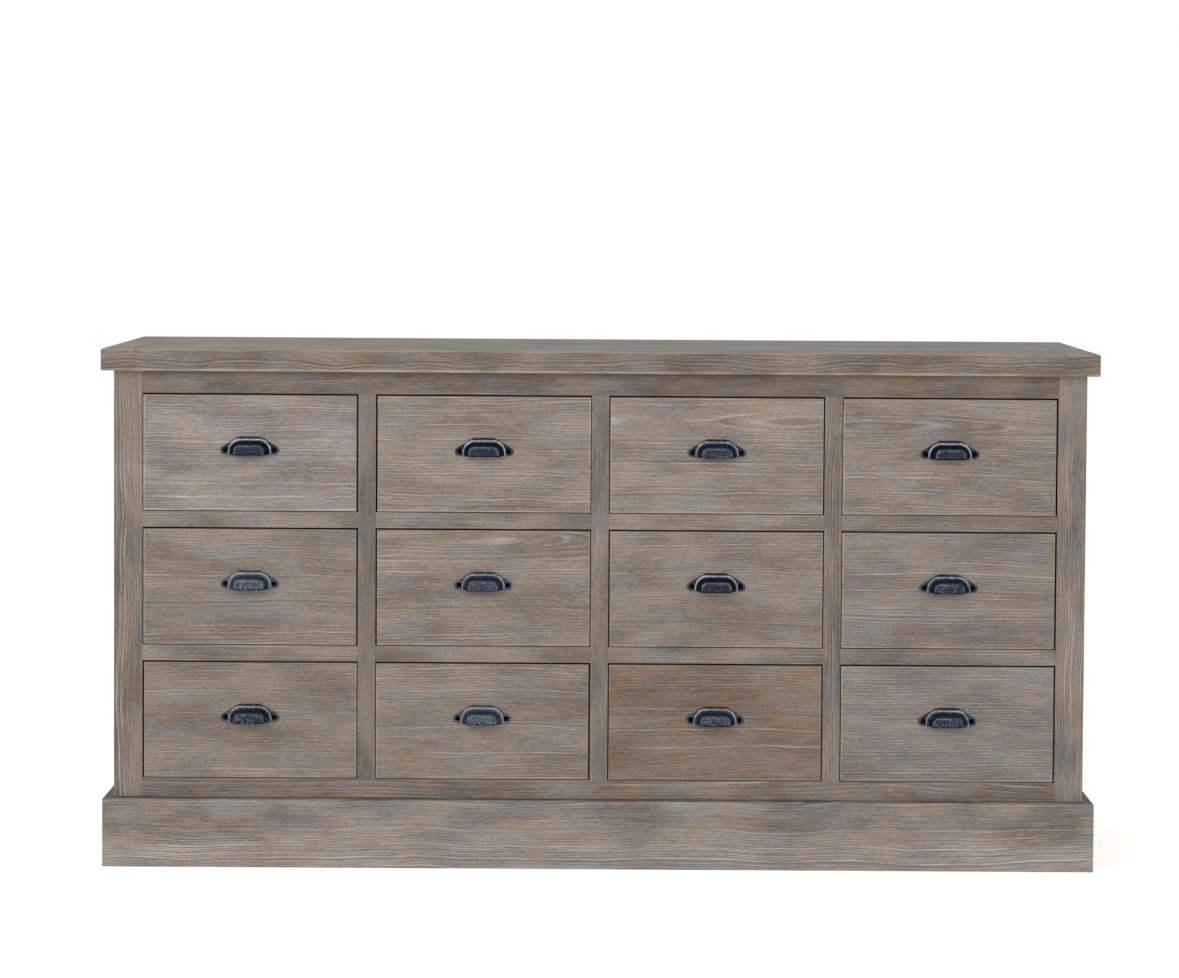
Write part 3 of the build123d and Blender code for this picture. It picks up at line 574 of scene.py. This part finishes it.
def brightness(n, look, grain, at):
    """The factor on the colour's brightness."""
    value = n.remap(at.random[2], 0.0, 1.0, look.tone * (1.0 - look.vary), look.tone * (1.0 + look.vary))
    factors = []
    if look.patchy:
        factors.append(n.remap(grain["Patch"], 0.32, 0.68, 1.0 - look.patchy, 1.0 + look.patchy))
    if look.fall:
        factors.append(n.remap(at.z, *look.fall, smooth=True))
    if look.top_tone != 1.0:
        factors.append(n.remap(at.up, 0.5, 0.9, 1.0, look.top_tone))
    if look.is_top:
        off_seam = n.math("ADD", at.off_seam, n.remap(at.up, 0.4, 0.2, 0.0, SEAM_UPRIGHT))
        factors.append(n.remap(off_seam, *SEAM_LINE, SEAM_TONE, 1.0))
    # Painted shade on the sides of the gaps round the fronts
    if look.painted_gap_tone:
        factors.append(painted_gap_shade(n, look, at))
    for factor in factors:
        value = n.math("MULTIPLY", value, factor)
    return value


def weathered_wood(name, look):
    """Brushed, limed and greyed timber, its grain running one way through the solid."""
    material, n, shader = new_material(name)
    position = n.place()
    normal = n.add("ShaderNodeNewGeometry").outputs["True Normal"]
    board, seed = in_board(n, position, look.axes, look.cells, look.number)
    x, y, z = n.split(position)
    at = SimpleNamespace(position=position, x=x, y=y, z=z, board=board, random=n.split(seed),
                         up=n.split(normal)[2], facing=n.split(n.vector("ABSOLUTE", normal)))
    if look.is_top:
        at.off_seam = n.math("ABSOLUTE", n.math("SUBTRACT", n.math("ABSOLUTE", x), seam_x))
    grain = add_grain(n, grain_place(n, look, at), seed, look.heart, look.depth, look.spacing)
    colour = worn_colour(n, look, grain, at, stained_colour(n, look, grain, at))
    values = {"Color": colour, "Value": brightness(n, look, grain, at), "Saturation": look.saturation,
              "Hue": look.hue}
    relief = n.math("ADD", grain["Fine"], n.math("MULTIPLY", grain["Dark"], 0.6))
    relief = n.math("SUBTRACT", relief, n.math("MULTIPLY", grain["Light"], 0.4))
    n.feed(shader, {
        "Base Color": n.add("ShaderNodeHueSaturation", values).outputs[0],
        "Roughness": n.remap(grain["Fibre"], *BRUSHED_ROUGHNESS),
        "Specular IOR Level": 0.35,
        "Normal": n.bump(relief, 0.5, BRUSHED_DEPTH),
    })
    return material


# Plain softwood

PINE_DARK = srgb(180, 154, 119)
PINE_PALE = srgb(193, 171, 138)
PINE_RING = srgb(150, 114, 78)
PINE_FIBRE = srgb(138, 108, 78)


def inner_wood(name, axes, cells, number, side_from=None):
    """Planed softwood that was never stained, as inside the drawers.

    From side_from outwards, in millimetres from a drawer's middle, its sides have a grain that runs back.
    """
    material, n, shader = new_material(name)
    position = n.place()
    place, seed = in_board(n, position, axes, cells, number)
    if side_from:
        is_side = n.math("GREATER_THAN", n.math("ABSOLUTE", n.split(place)[0]), side_from)
        place = n.mix_vectors(is_side, place, in_board(n, position, "yzx", cells, number)[0])
    grain = add_grain(n, place, seed, heart=(20.0, 120.0), depth=50.0, spacing=5.0)
    colour = n.mix(n.remap(grain["Patch"], 0.35, 0.65), PINE_DARK, PINE_PALE)
    colour = n.mix(n.math("MULTIPLY", grain["Dark"], 0.5), colour, PINE_RING)
    n.feed(shader, {
        "Base Color": n.mix(n.remap(grain["Fine"], 0.5, 0.3, 0.0, 0.35), colour, PINE_FIBRE),
        "Roughness": n.remap(grain["Fine"], *PLANED_ROUGHNESS),
        "Normal": n.bump(grain["Fine"], 0.3, PLANED_DEPTH),
    })
    return material


# Which wood each part has

# Painted shade that leaves the frame's walls round the drawer openings nearly black
PAINTED_GAP_TONE = 0.04
TOP = Look("xyz", TOP_BOARDS, 1, heart=(30.0, 80.0), depth=20.0, spacing=5.4, swirl=20.0, bold=1.6, tone=0.81,
           patchy=0.10, warm=0.8, top_grey=0.38, saturation=1.1, edge_colour=WORN_BROWN_EDGE, is_top=True)
POST = Look("zxy", CORNERS, 2, spacing=4.2, patchy=0.06, warm=0.8, saturation=1.12, wear=0.5)
PLINTH_BOARD = Look("yzx", PLINTH_SIDES, 8, heart=-70.0, depth=30.0, spacing=5.8, swirl=10.0, top_tone=0.4,
                    low_tan=0.5, lime=1.0, wear=0.0)

# Each weathered material, its look and the parts that have it
WEATHERED = {
    "wood_top": (TOP, "top_panel"),
    "wood_top_ends": (
        replace(TOP, axes="yxz", cells=TOP_ENDS),
        "breadboard_end_left", "breadboard_end_right"),
    "wood_posts": (
        replace(POST, heart=(35.0, 95.0), swirl=11.0, tone=0.84, hue=0.496, lime=0.95, painted_gap_tone=PAINTED_GAP_TONE,
                gap_within=POST_GAP_X),
        "post_front_left", "post_front_right"),
    "wood_back_posts": (
        replace(POST, heart=(60.0, 120.0), swirl=3.0, tone=0.85, lime=0.7),
        "post_back_left", "post_back_right"),
    "wood_muntins": (
        Look("zxy", MUNTINS, 43, heart=(40.0, 110.0), spacing=4.2, swirl=4.0, tone=0.79, vary=0.08,
             patchy=0.09, warm=0.6, grey=0.8, painted_gap_tone=PAINTED_GAP_TONE),
        "muntins"),
    "wood_top_rail": (
        Look("xzy", LONG_RAILS, 4, tone=0.735, patchy=0.11, warm=0.9, saturation=1.2, hue=0.495,
             painted_gap_tone=PAINTED_GAP_TONE),
        "face_top_rail"),
    "wood_bottom_rail": (
        Look("xzy", LONG_RAILS, 5, tone=0.885, patchy=0.10, warm=0.8, saturation=1.1, hue=0.495,
             painted_gap_tone=PAINTED_GAP_TONE),
        "face_bottom_rail"),
    "wood_mid_rails": (
        Look("xzy", RAILS, 6, bold=0.8, tone=0.87, patchy=0.13, warm=0.4, grey=0.7, painted_gap_tone=PAINTED_GAP_TONE),
        "mid_rails"),
    "wood_plinth": (
        replace(PLINTH_BOARD, axes="xzy", cells=PLINTH, number=7, tone=1.035, patchy=0.10,
                fall=(0.03, 0.09, 1.10, 0.95), top_tone=0.45, warm=0.8, grey=0.75, saturation=0.88),
        "plinth_front"),
    "wood_plinth_sides": (PLINTH_BOARD, "plinth_sides"),
    "wood_side_rails": (Look("yzx", SIDE_RAILS, 9, tone=0.94), "side_rails"),
    "wood_side_panels": (Look("zyx", SIDE_BOARDS, 10, tone=0.98), "side_panel_left", "side_panel_right"),
}

# The looks of the drawer fronts, and the drawers that aren't in the commonest one
# The fronts' own side edges get a lighter painted shade of the gaps round them
FRONT = Look("xzy", DRAWERS, 11, swirl=6.0, fall=(0.16, 0.86, 0.91, 1.045), lime=0.62, rim=(193.0, 105.0),
             painted_gap_tone=0.35, gap_from=0.0003)
FRONTS = {
    "wood_fronts": replace(FRONT, saturation=1.06),
    "wood_fronts_pale": replace(FRONT, tone=1.06, fall=(0.16, 0.86, 0.88, 1.08), warm=0.25, grey=0.75,
                                saturation=0.8),
    "wood_fronts_grey": replace(FRONT, tone=0.92, warm=0.25, grey=0.75, saturation=0.92),
    "wood_fronts_brown": replace(FRONT, tone=0.85, warm=0.6, grey=0.3, saturation=1.4, hue=0.494),
}
RARER_FRONTS = {1: "wood_fronts_pale", 8: "wood_fronts_grey", 11: "wood_fronts_brown", 12: "wood_fronts_pale"}

# Each softwood material: the axes along, across and into its boards, their cells, its number, and its parts
INNER = {
    "wood_back_panel": ("zxy", BACK_BOARDS, 13, "back_panel"),
    "wood_back_rails": ("xzy", None, 14, "back_rails", "bottom_panel", "top_blocks", "drawer_stops"),
    "wood_runners": ("yxz", COLUMNS, 15, "drawer_runners", "drawer_guides"),
    "wood_partitions": ("zyx", MUNTINS, 16, "partitions"),
}


def assign(material, *names):
    """Put one material on whole parts."""
    for name in names:
        materials = nodes[name].data.materials
        materials.clear()
        materials.append(material)


def dress_wood():
    """Give every timber part its grain and its place in the tree."""
    for name, (look, *parts) in WEATHERED.items():
        assign(weathered_wood(name, look), *parts)
    fronts = {name: weathered_wood(name, look) for name, look in FRONTS.items()}
    boxes = inner_wood("wood_boxes", "xzy", DRAWERS, 12, BOX_SIDE_FROM_MM)
    for number in DRAWER_NUMBERS:
        assign(fronts[RARER_FRONTS.get(number, "wood_fronts")], f"drawer_{number:02d}_front")
        assign(boxes, f"drawer_{number:02d}_box")
    for name, (axes, cells, number, *parts) in INNER.items():
        assign(inner_wood(name, axes, cells, number), *parts)


# Cup pulls

# Lugs at the ends of the flange, and how thick the flange is
LUG_X_MM = 43.8
LUG_RADIUS_MM = 9.0
FLANGE_MM = 3.0

# Circles that the flange's outline wraps: middle across and up, radius
FLANGE_CIRCLES_MM = ((45.2, -0.6, 7.4), (16.8, 17.2, 6.8))
CIRCLE_STEPS = 48

# The cup's outline at the flange: half its width, its crown's height, and half its crown's flat part, then
# the steps of a shoulder and how far the cup stands out
CUP_HALF_MM = 39.6
CUP_CROWN_MM = 22.2
CUP_FLAT_MM = 16.0
SHOULDER_STEPS = 14
PULL_DEPTH_MM = 28.0

# The foot's height, how much higher it would be at the drawer's face, and how far out that lift ends
FOOT_MM = -8.7
FOOT_LIFT_MM = 1.2
FOOT_LIFT_ENDS_MM = 10.0

# The cup's ends draw back by this much at its full depth, from this far out
BOW_MM = 13.0
BOW_FROM_MM = 6.0

# The thin lip along the foot, the step of the outline above it, how far above it the painted shade of the
# foot is black, and from how far out
LIP_MM = 1.7
LIP_STEP_MM = 0.7
LIP_BLACK_MM = 0.6
LIP_FROM_MM = 6.7

# How far a place is rubbed bright: below nought it is darker, and black at -1, which on the lip is painted
# shade. The crown, and the sides of the panel from PANEL_FROM_MM out, have a share of their profile's.
LIP_PAINTED_SHADE = -1.0
HOLLOW_RUB = -0.5
LUG_RUB = 0.2
FLANGE_RUB = -0.3
CROWN_SHARE = 0.6
PANEL_SIDE_SHARE = 0.55
PANEL_FROM_MM = 24.0

# Profile of the cup from the flange to its plate: distance from the drawer, inset at the sides, inset at the
# crown, and how far it is rubbed bright
CUP_PROFILE_MM = (
    (1.5, 0.0, 0.0, -0.1), (3.6, 0.0, 0.0, 0.0), (5.0, 0.2, 0.4, 0.3), (6.1, 0.7, 1.4, 0.8),
    (6.8, 1.6, 3.1, 1.0), (6.8, 2.4, 5.0, 0.8), (6.1, 3.1, 6.5, 0.3), (5.6, 3.9, 7.4, -0.2),
    (5.9, 4.8, 8.1, -0.4), (7.4, 6.0, 8.9, -0.5), (9.8, 7.2, 9.7, -0.5), (13.0, 8.5, 10.5, -0.4),
    (16.8, 9.8, 11.3, -0.25), (20.6, 11.0, 11.9, -0.1), (23.6, 11.9, 12.3, 0.1), (25.6, 12.5, 12.7, 0.45),
    (26.7, 13.1, 13.2, 0.75), (27.0, 14.4, 14.2, 0.5), (27.0, 16.4, 16.0, 0.15), (27.1, 17.0, 16.6, 0.15),
    (27.7, 17.6, 17.1, 0.4), (28.0, 18.6, 18.0, 0.12),
)

# The same for the hollow that the fingers reach into, without the rubbing
HOLLOW_PROFILE_MM = (
    (1.5, 3.4, 3.4), (3.2, 4.4, 5.2), (4.2, 6.2, 8.4), (6.4, 8.2, 10.4), (9.8, 9.6, 11.6), (13.0, 10.9, 12.7),
    (16.8, 12.2, 13.6), (20.4, 13.4, 14.4), (23.2, 14.8, 15.2), (24.4, 17.4, 17.4),
)

# Screw heads, with shares of the radius where their columns and rows of points lie, the powers of their dome,
# and the least square of a column's half height
HEAD_RADIUS_MM = 5.2
HEAD_DOME_MM = 1.9
HEAD_COLUMNS = (-1.0, -0.97, -0.88, -0.74, -0.56, -0.36)
HEAD_ROWS = (-1.0, -0.96, -0.85, -0.65, -0.4, 0.0, 0.4, 0.65, 0.85, 0.96, 1.0)
DOME_POWERS = (2.6, 0.7)
LEAST_CHORD_SQUARE = 0.02
SLOT_HALF_MM = 0.55
SLOT_DEPTH_MM = 1.1
SLOT_EDGE_MM = 0.06

# How deep the slot's floor and the head's skirt reach into the flange
SLOT_SINK_MM = 0.2
SKIRT_SINK_MM = 0.4

# Width in millimetres, segments and least angle of the rounding on the cup's and the flange's edges
CUP_EASE = (0.7, 2, 60)
FLANGE_EASE = (0.9, 3, 40)

# The side, place and first slot angle of each screw, and by how much the slots turn from drawer to drawer
SCREWS = (("left", -LUG_X_MM, 31), ("right", LUG_X_MM, 118))
SLOT_TURN = 67


def cup_ring(projection, side_inset, crown_inset):
    """One outline of the cup, from its left foot over the crown to its right foot, in pull millimetres."""
    half = CUP_HALF_MM - side_inset
    crown = CUP_CROWN_MM - crown_inset
    radius = half - CUP_FLAT_MM
    shoulder_z = crown - radius
    arc = [(CUP_FLAT_MM + radius * cos(turn), shoulder_z + radius * sin(turn))
           for turn in [pi / 2 * step / SHOULDER_STEPS for step in range(SHOULDER_STEPS + 1)]]
    foot = FOOT_MM + FOOT_LIFT_MM * max(1.0 - projection / FOOT_LIFT_ENDS_MM, 0.0)
    low = [(half, foot + rise) for rise in (0.0, LIP_MM, LIP_MM + LIP_STEP_MM)]
    low.append((half, (shoulder_z + foot + LIP_MM) / 2))
    right = low + arc + [(CUP_FLAT_MM / 2, crown)]
    left = [(-x, z) for x, z in right]
    bow = BOW_MM * max(projection - BOW_FROM_MM, 0.0) / (PULL_DEPTH_MM - BOW_FROM_MM)
    return [(x, bow * (x / CUP_HALF_MM) ** 2 - projection, z) for x, z in left + [(0.0, crown)] + right[::-1]]


def cup_rub_and_shade(x, y, z, value):
    """How far a point of the cup is rubbed bright, from its profile's value and its place; the lip gets
    painted shade.
    """
    if z < FOOT_MM + LIP_MM + LIP_BLACK_MM and -y > LIP_FROM_MM:
        return LIP_PAINTED_SHADE
    if abs(x) <= CUP_FLAT_MM and -y <= LIP_FROM_MM:
        return value * CROWN_SHARE
    if abs(x) > CUP_FLAT_MM and -y > PANEL_FROM_MM:
        return value * PANEL_SIDE_SHARE
    return value


def cup_shape(centre):
    """The cup itself: outer skin with bead, cove and panel, a hollow inside and a flat foot."""
    made = bmesh.new()
    rub_and_shade = made.verts.layers.float.new("rub_and_shade")

    def ring(points, value):
        verts = []
        for point in points:
            vert = made.verts.new(centre + Vector(point) * MM)
            vert[rub_and_shade] = cup_rub_and_shade(*point, value)
            verts.append(vert)
        return verts

    def face(corners, flip):
        made.faces.new(corners[::-1] if flip else corners)

    outer = [ring(cup_ring(*profile[:3]), profile[3]) for profile in CUP_PROFILE_MM]
    inner = [ring(cup_ring(*profile), HOLLOW_RUB) for profile in HOLLOW_PROFILE_MM]
    for rings, flip in ((outer, False), (inner, True)):
        for near, far in zip(rings, rings[1:]):
            for left in range(len(near) - 1):
                face((near[left], near[left + 1], far[left + 1], far[left]), flip)
        last = rings[-1]
        middle = len(last) // 2
        for left in range(middle - 1):
            right = len(last) - 1 - left
            face((last[left], last[left + 1], last[right - 1], last[right]), flip)
        face((last[middle - 1], last[middle], last[middle + 1]), flip)

    # The rim against the flange, and the foot all round
    for left in range(len(outer[0]) - 1):
        face((inner[0][left], inner[0][left + 1], outer[0][left + 1], outer[0][left]), False)
    foot = [rings[0] for rings in outer] + [rings[-1] for rings in reversed(outer)]
    foot += [rings[-1] for rings in inner] + [rings[0] for rings in reversed(inner)]
    made.faces.new(foot)
    return made


def flange_outline():
    """The flange's outline: a line drawn tight round its lugs and the corners of its crown."""
    points = []
    for x, z, radius in FLANGE_CIRCLES_MM:
        for side in (-1, 1):
            for step in range(CIRCLE_STEPS):
                turn = 2 * pi * step / CIRCLE_STEPS
                points.append((side * x + radius * cos(turn), z + radius * sin(turn)))
    return [points[place] for place in convex_hull_2d(points)]


def flange_shape(centre):
    """The flat plate behind the cup, with a lug at each end."""
    outline = flange_outline()
    made = bmesh.new()
    rub_and_shade = made.verts.layers.float.new("rub_and_shade")
    front = [made.verts.new(centre + Vector((x, -FLANGE_MM, z)) * MM) for x, z in outline]
    back = [made.verts.new(centre + Vector((x, 0.0, z)) * MM) for x, z in outline]
    for vert, (x, _) in zip(front, outline):
        vert[rub_and_shade] = LUG_RUB if abs(x) > CUP_HALF_MM else FLANGE_RUB
    made.faces.new(front)
    made.faces.new(back[::-1])
    for first in range(len(outline)):
        second = (first + 1) % len(outline)
        made.faces.new((front[first], front[second], back[second], back[first]))
    return made


def screw_shape(centre, turn):
    """A domed screw head with one slot, turned by the given angle."""
    columns = [HEAD_RADIUS_MM * share for share in HEAD_COLUMNS]
    columns += [-SLOT_HALF_MM - SLOT_EDGE_MM, -SLOT_HALF_MM, 0.0]
    columns += [-x for x in reversed(columns[:-1])]
    bulge, fall = DOME_POWERS
    made = bmesh.new()
    grid = []
    for x in columns:
        chord = max(HEAD_RADIUS_MM ** 2 - x ** 2, LEAST_CHORD_SQUARE) ** 0.5
        line = []
        for share in HEAD_ROWS:
            z = chord * share
            out = hypot(x, z) / HEAD_RADIUS_MM
            height = FLANGE_MM + HEAD_DOME_MM * max(1 - out ** bulge, 0.0) ** fall
            if abs(x) <= SLOT_HALF_MM:
                height = max(height - SLOT_DEPTH_MM, FLANGE_MM - SLOT_SINK_MM)
            point = Vector((x * cos(turn) - z * sin(turn), -height, x * sin(turn) + z * cos(turn)))
            line.append(made.verts.new(centre + point * MM))
        grid.append(line)
    for near, far in zip(grid, grid[1:]):
        for low in range(len(HEAD_ROWS) - 1):
            made.faces.new((near[low], near[low + 1], far[low + 1], far[low]))

    # A skirt that reaches into the flange, and a floor that closes it
    bmesh.ops.recalc_face_normals(made, faces=made.faces)
    rim = [edge for edge in made.edges if edge.is_boundary]
    skirt = bmesh.ops.extrude_edge_only(made, edges=rim)
    for item in skirt["geom"]:
        if isinstance(item, bmesh.types.BMVert):
            item.co.y = centre.y - (FLANGE_MM - SKIRT_SINK_MM) * MM
    rim = [edge for edge in made.edges if edge.is_boundary]
    bmesh.ops.holes_fill(made, edges=rim, sides=0)
    return made


def add_piece(name, made, body, material, smooth=True):
    """Turn a shape into an object that rides on a body and has the finish of the pulls."""
    bmesh.ops.recalc_face_normals(made, faces=made.faces)
    mesh = bpy.data.meshes.new(name)
    made.to_mesh(mesh)
    made.free()
    for polygon in mesh.polygons:
        polygon.use_smooth = smooth
    mesh.materials.append(material)
    piece = bpy.data.objects.new(name, mesh)
    scene.collection.objects.link(piece)
    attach(piece, body)
    return piece


def bevel(piece, width_mm, segments, angle):
    """Round the piece's edges that are sharper than an angle in degrees."""
    modifier = piece.modifiers.new("ease", "BEVEL")
    modifier.width = width_mm * MM
    modifier.segments = segments
    modifier.limit_method = "ANGLE"
    modifier.angle_limit = radians(angle)
    modifier.harden_normals = False


# Iron and its screws: colours, noise frequencies per millimetre, and the height of the cast grain in metres
IRON_DARK = srgb(18, 25, 36)
IRON_GREY = srgb(40, 50, 64)
IRON_RUBBED = srgb(88, 100, 114)
IRON_BRIGHT = srgb(162, 172, 186)
IRON_PATINA_AND_SHADE = srgb(2, 5, 11)
IRON_BLOOM = srgb(114, 124, 138)
IRON_PAINTED_GLINT = srgb(156, 166, 180)
IRON_PIT = srgb(5, 8, 15)
SCREW_DARK = srgb(1, 3, 7)
SCREW_GREY = srgb(4, 7, 12)
CLOUD_FREQUENCY = 0.12
GRAIN_FREQUENCY = 0.42
SPECK_FREQUENCY = 0.7
SCREW_FREQUENCY = 0.9
SCRATCH_FREQUENCY = (0.2, 1.4, 1.4)
CAST_DEPTH = 0.0003


def iron_material(name, gleam, frost, speckle):
    """Dark patinated iron, rubbed bright where hands and polish reach it.

    Gleam is how bright the rubbed ridges are, frost how far a grey bloom covers it, speckle how grainy it is
    and how many painted glints it has.
    """
    material, n, shader = new_material(name)
    position = n.scaled(n.place(), MM_PER_METRE)
    rub_and_shade = n.add("ShaderNodeAttribute", attribute_name="rub_and_shade").outputs["Fac"]
    cloud = n.noise(n.scaled(position, CLOUD_FREQUENCY), detail=4.0, roughness=0.6)
    speck = n.noise(n.scaled(position, SPECK_FREQUENCY), detail=3.0, roughness=0.65)
    scratch = n.noise(n.vector("MULTIPLY", position, SCRATCH_FREQUENCY), detail=3.0, roughness=0.7)
    grain = n.noise(n.scaled(position, GRAIN_FREQUENCY), detail=2.0, roughness=0.7)

    # Rubbed ridges, with clouds, scratches and dull specks
    bright = n.math("MULTIPLY_ADD", rub_and_shade, gleam, n.remap(cloud, 0.3, 0.7, -0.2, 0.2))
    bright = n.math("ADD", bright, n.remap(scratch, 0.5, 0.75, 0.0, 0.2))
    bright = n.math("SUBTRACT", bright, n.remap(speck, 0.52, 0.66, 0.0, 0.5))
    colour = n.mix(n.remap(speck, 0.35, 0.65), IRON_DARK, IRON_GREY)
    colour = n.mix(n.remap(bright, 0.05, 0.5, 0.0, 0.7), colour, IRON_RUBBED)
    colour = n.mix(n.remap(bright, 0.4, 1.0, smooth=True), colour, IRON_BRIGHT)
    # Black patina in the cove, and painted shade on the lip along the foot
    colour = n.mix(n.remap(rub_and_shade, -0.05, -0.5), colour, IRON_PATINA_AND_SHADE)

    # The bloom is thinner in the cove, patchy, and leaves the lip's painted shade black
    bloom = n.remap(grain, 0.38, 0.62, 0.1 * frost, frost)
    bloom = n.math("MULTIPLY", bloom, n.remap(rub_and_shade, -0.55, 0.0, 0.45, 1.0))
    bloom = n.math("MULTIPLY", bloom, n.math("GREATER_THAN", rub_and_shade, -0.9))
    bloom = n.math("MULTIPLY", bloom, n.remap(cloud, 0.35, 0.6, 0.55, 1.0))
    colour = n.mix(bloom, colour, IRON_BLOOM)
    # Painted glints of light on the cast grain, then dark pits
    colour = n.mix(n.remap(grain, 0.55, 0.66, 0.0, speckle), colour, IRON_PAINTED_GLINT)
    colour = n.mix(n.remap(grain, 0.45, 0.36, 0.0, speckle), colour, IRON_PIT)
    n.feed(shader, {
        "Base Color": colour,
        "Metallic": 0.75,
        "Specular IOR Level": 0.25,
        "Roughness": n.remap(speck, 0.3, 0.7, 0.38, 0.55),
        "Normal": n.bump(n.math("MULTIPLY_ADD", grain, speckle + frost, speck), 0.4, CAST_DEPTH),
    })
    return material


def screw_material():
    """Black screw heads."""
    material, n, shader = new_material("black_screw")
    speck = n.noise(n.scaled(n.scaled(n.place(), MM_PER_METRE), SCREW_FREQUENCY), detail=3.0)
    n.feed(shader, {
        "Base Color": n.mix(n.remap(speck, 0.35, 0.65), SCREW_DARK, SCREW_GREY),
        "Specular IOR Level": 0.06,
        "Roughness": n.remap(speck, 0.3, 0.7, 0.6, 0.8),
    })
    return material


# Gleam, frost and speckle of each state of wear, and the pulls that aren't in the commonest one
IRON_WEAR = {
    "dark": (0.85, 0.0, 0.1),
    "grainy": (0.75, 0.05, 0.45),
    "grey": (0.75, 0.45, 0.2),
    "frosted": (0.85, 0.8, 0.35),
}
PULL_WEAR = {
    3: "grainy", 5: "frosted", 6: "grey", 8: "grainy", 9: "grainy", 10: "frosted", 11: "grey", 12: "grainy",
}


def make_pulls():
    """A cup pull with its two screws on every drawer, in place of the plain one."""
    irons = {name: iron_material(f"aged_iron_{name}", *wear) for name, wear in IRON_WEAR.items()}
    black = screw_material()
    for number in DRAWER_NUMBERS:
        body = f"drawer_{number:02d}"
        iron = irons[PULL_WEAR.get(number, "dark")]
        low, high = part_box(f"{body}_pull")
        centre = Vector(((low.x + high.x) / 2, low.y + PULL_DEPTH_MM * MM, low.z + LUG_RADIUS_MM * MM))
        cup = add_piece(f"{body}_cup", cup_shape(centre), body, iron)
        bevel(cup, *CUP_EASE)
        flange = add_piece(f"{body}_flange", flange_shape(centre), body, iron, smooth=False)
        bevel(flange, *FLANGE_EASE)
        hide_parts(f"{body}_pull")
        for side, x, first_angle in SCREWS:
            turn = radians((number * SLOT_TURN + first_angle) % 180)
            shape = screw_shape(centre + Vector((x * MM, 0, 0)), turn)
            add_piece(f"{body}_screw_{side}", shape, body, black)


# Camera, light and floor

# The world's light on the object, and the floor's size each way from the middle, its colour and the white
# that the camera sees added to it
WHITE = (1.0, 1.0, 1.0, 1.0)
WORLD_LIGHT = 0.72
FLOOR_HALF = 14.0
FLOOR_COLOUR = (0.82, 0.82, 0.82, 1.0)
FLOOR_GLOW = 0.5

# Each lamp: its place, the point it faces, its width and height, and its power in watts
LAMPS = {
    "key": ((-2.0, -3.0, 2.3), (-0.2, 0.0, 0.6), (2.6, 1.8), 36.0),
    "fill": ((2.2, -4.0, 1.8), (0.1, 0.0, 0.6), (2.4, 2.0), 26.0),
}


def make_camera():
    """The photograph's camera: level verticals by shift, looking slightly down."""
    data = bpy.data.cameras.new("camera")
    data.sensor_fit = "HORIZONTAL"
    data.sensor_width = SENSOR_WIDTH
    data.lens = FOCAL_PIXELS / IMAGE_WIDTH * SENSOR_WIDTH
    data.shift_x, data.shift_y = SHIFT
    data.clip_end = 100.0
    level = cos(CAMERA_PITCH)
    forward = Vector((sin(CAMERA_YAW) * level, cos(CAMERA_YAW) * level, -sin(CAMERA_PITCH)))
    right = Vector((cos(CAMERA_YAW), -sin(CAMERA_YAW), 0.0))
    up = right.cross(forward)
    rolled_right = right * cos(CAMERA_ROLL) + up * sin(CAMERA_ROLL)
    rolled_up = up * cos(CAMERA_ROLL) - right * sin(CAMERA_ROLL)
    turned = Matrix((rolled_right, rolled_up, -forward)).transposed().to_4x4()
    camera = bpy.data.objects.new("camera", data)
    camera.matrix_world = Matrix.Translation(CAMERA_PLACE) @ turned
    scene.collection.objects.link(camera)
    scene.camera = camera


def make_light(name, place, target, size, power):
    """A soft rectangular lamp that faces a point."""
    data = bpy.data.lights.new(name, "AREA")
    data.shape = "RECTANGLE"
    data.size, data.size_y = size
    data.energy = power
    lamp = bpy.data.objects.new(name, data)
    lamp.location = place
    lamp.rotation_euler = (Vector(target) - Vector(place)).to_track_quat("-Z", "Y").to_euler()
    scene.collection.objects.link(lamp)


def make_world():
    """Even studio light, and a white background for the camera and for reflections."""
    world = bpy.data.worlds.new("studio")
    n = cleared(world)
    lit = n.add("ShaderNodeBackground", {"Color": WHITE, "Strength": WORLD_LIGHT})
    white = n.add("ShaderNodeBackground", {"Color": WHITE, "Strength": 1.0})
    chosen = n.add("ShaderNodeMixShader", {0: n.seen(), 1: lit.outputs[0], 2: white.outputs[0]})
    n.add("ShaderNodeOutputWorld", {"Surface": chosen.outputs[0]})
    scene.world = world


def make_floor():
    """A wide pale floor that keeps the shadow."""
    material = bpy.data.materials.new("floor")
    n = cleared(material)
    matte = n.add("ShaderNodeBsdfDiffuse", {"Color": FLOOR_COLOUR})
    glow = n.add("ShaderNodeEmission", {"Color": WHITE, "Strength": n.math("MULTIPLY", n.seen(), FLOOR_GLOW)})
    both = n.add("ShaderNodeAddShader", {0: matte.outputs[0], 1: glow.outputs[0]})
    n.add("ShaderNodeOutputMaterial", {"Surface": both.outputs[0]})
    mesh = bpy.data.meshes.new("floor")
    signs = ((-1, -1), (1, -1), (1, 1), (-1, 1))
    mesh.from_pydata([(x * FLOOR_HALF, y * FLOOR_HALF, 0.0) for x, y in signs], [], [(0, 1, 2, 3)])
    mesh.materials.append(material)
    floor = bpy.data.objects.new("floor", mesh)
    scene.collection.objects.link(floor)


make_camera()
make_world()
make_floor()
for lamp_name, settings in LAMPS.items():
    make_light(lamp_name, *settings)
dress_wood()
make_pulls()
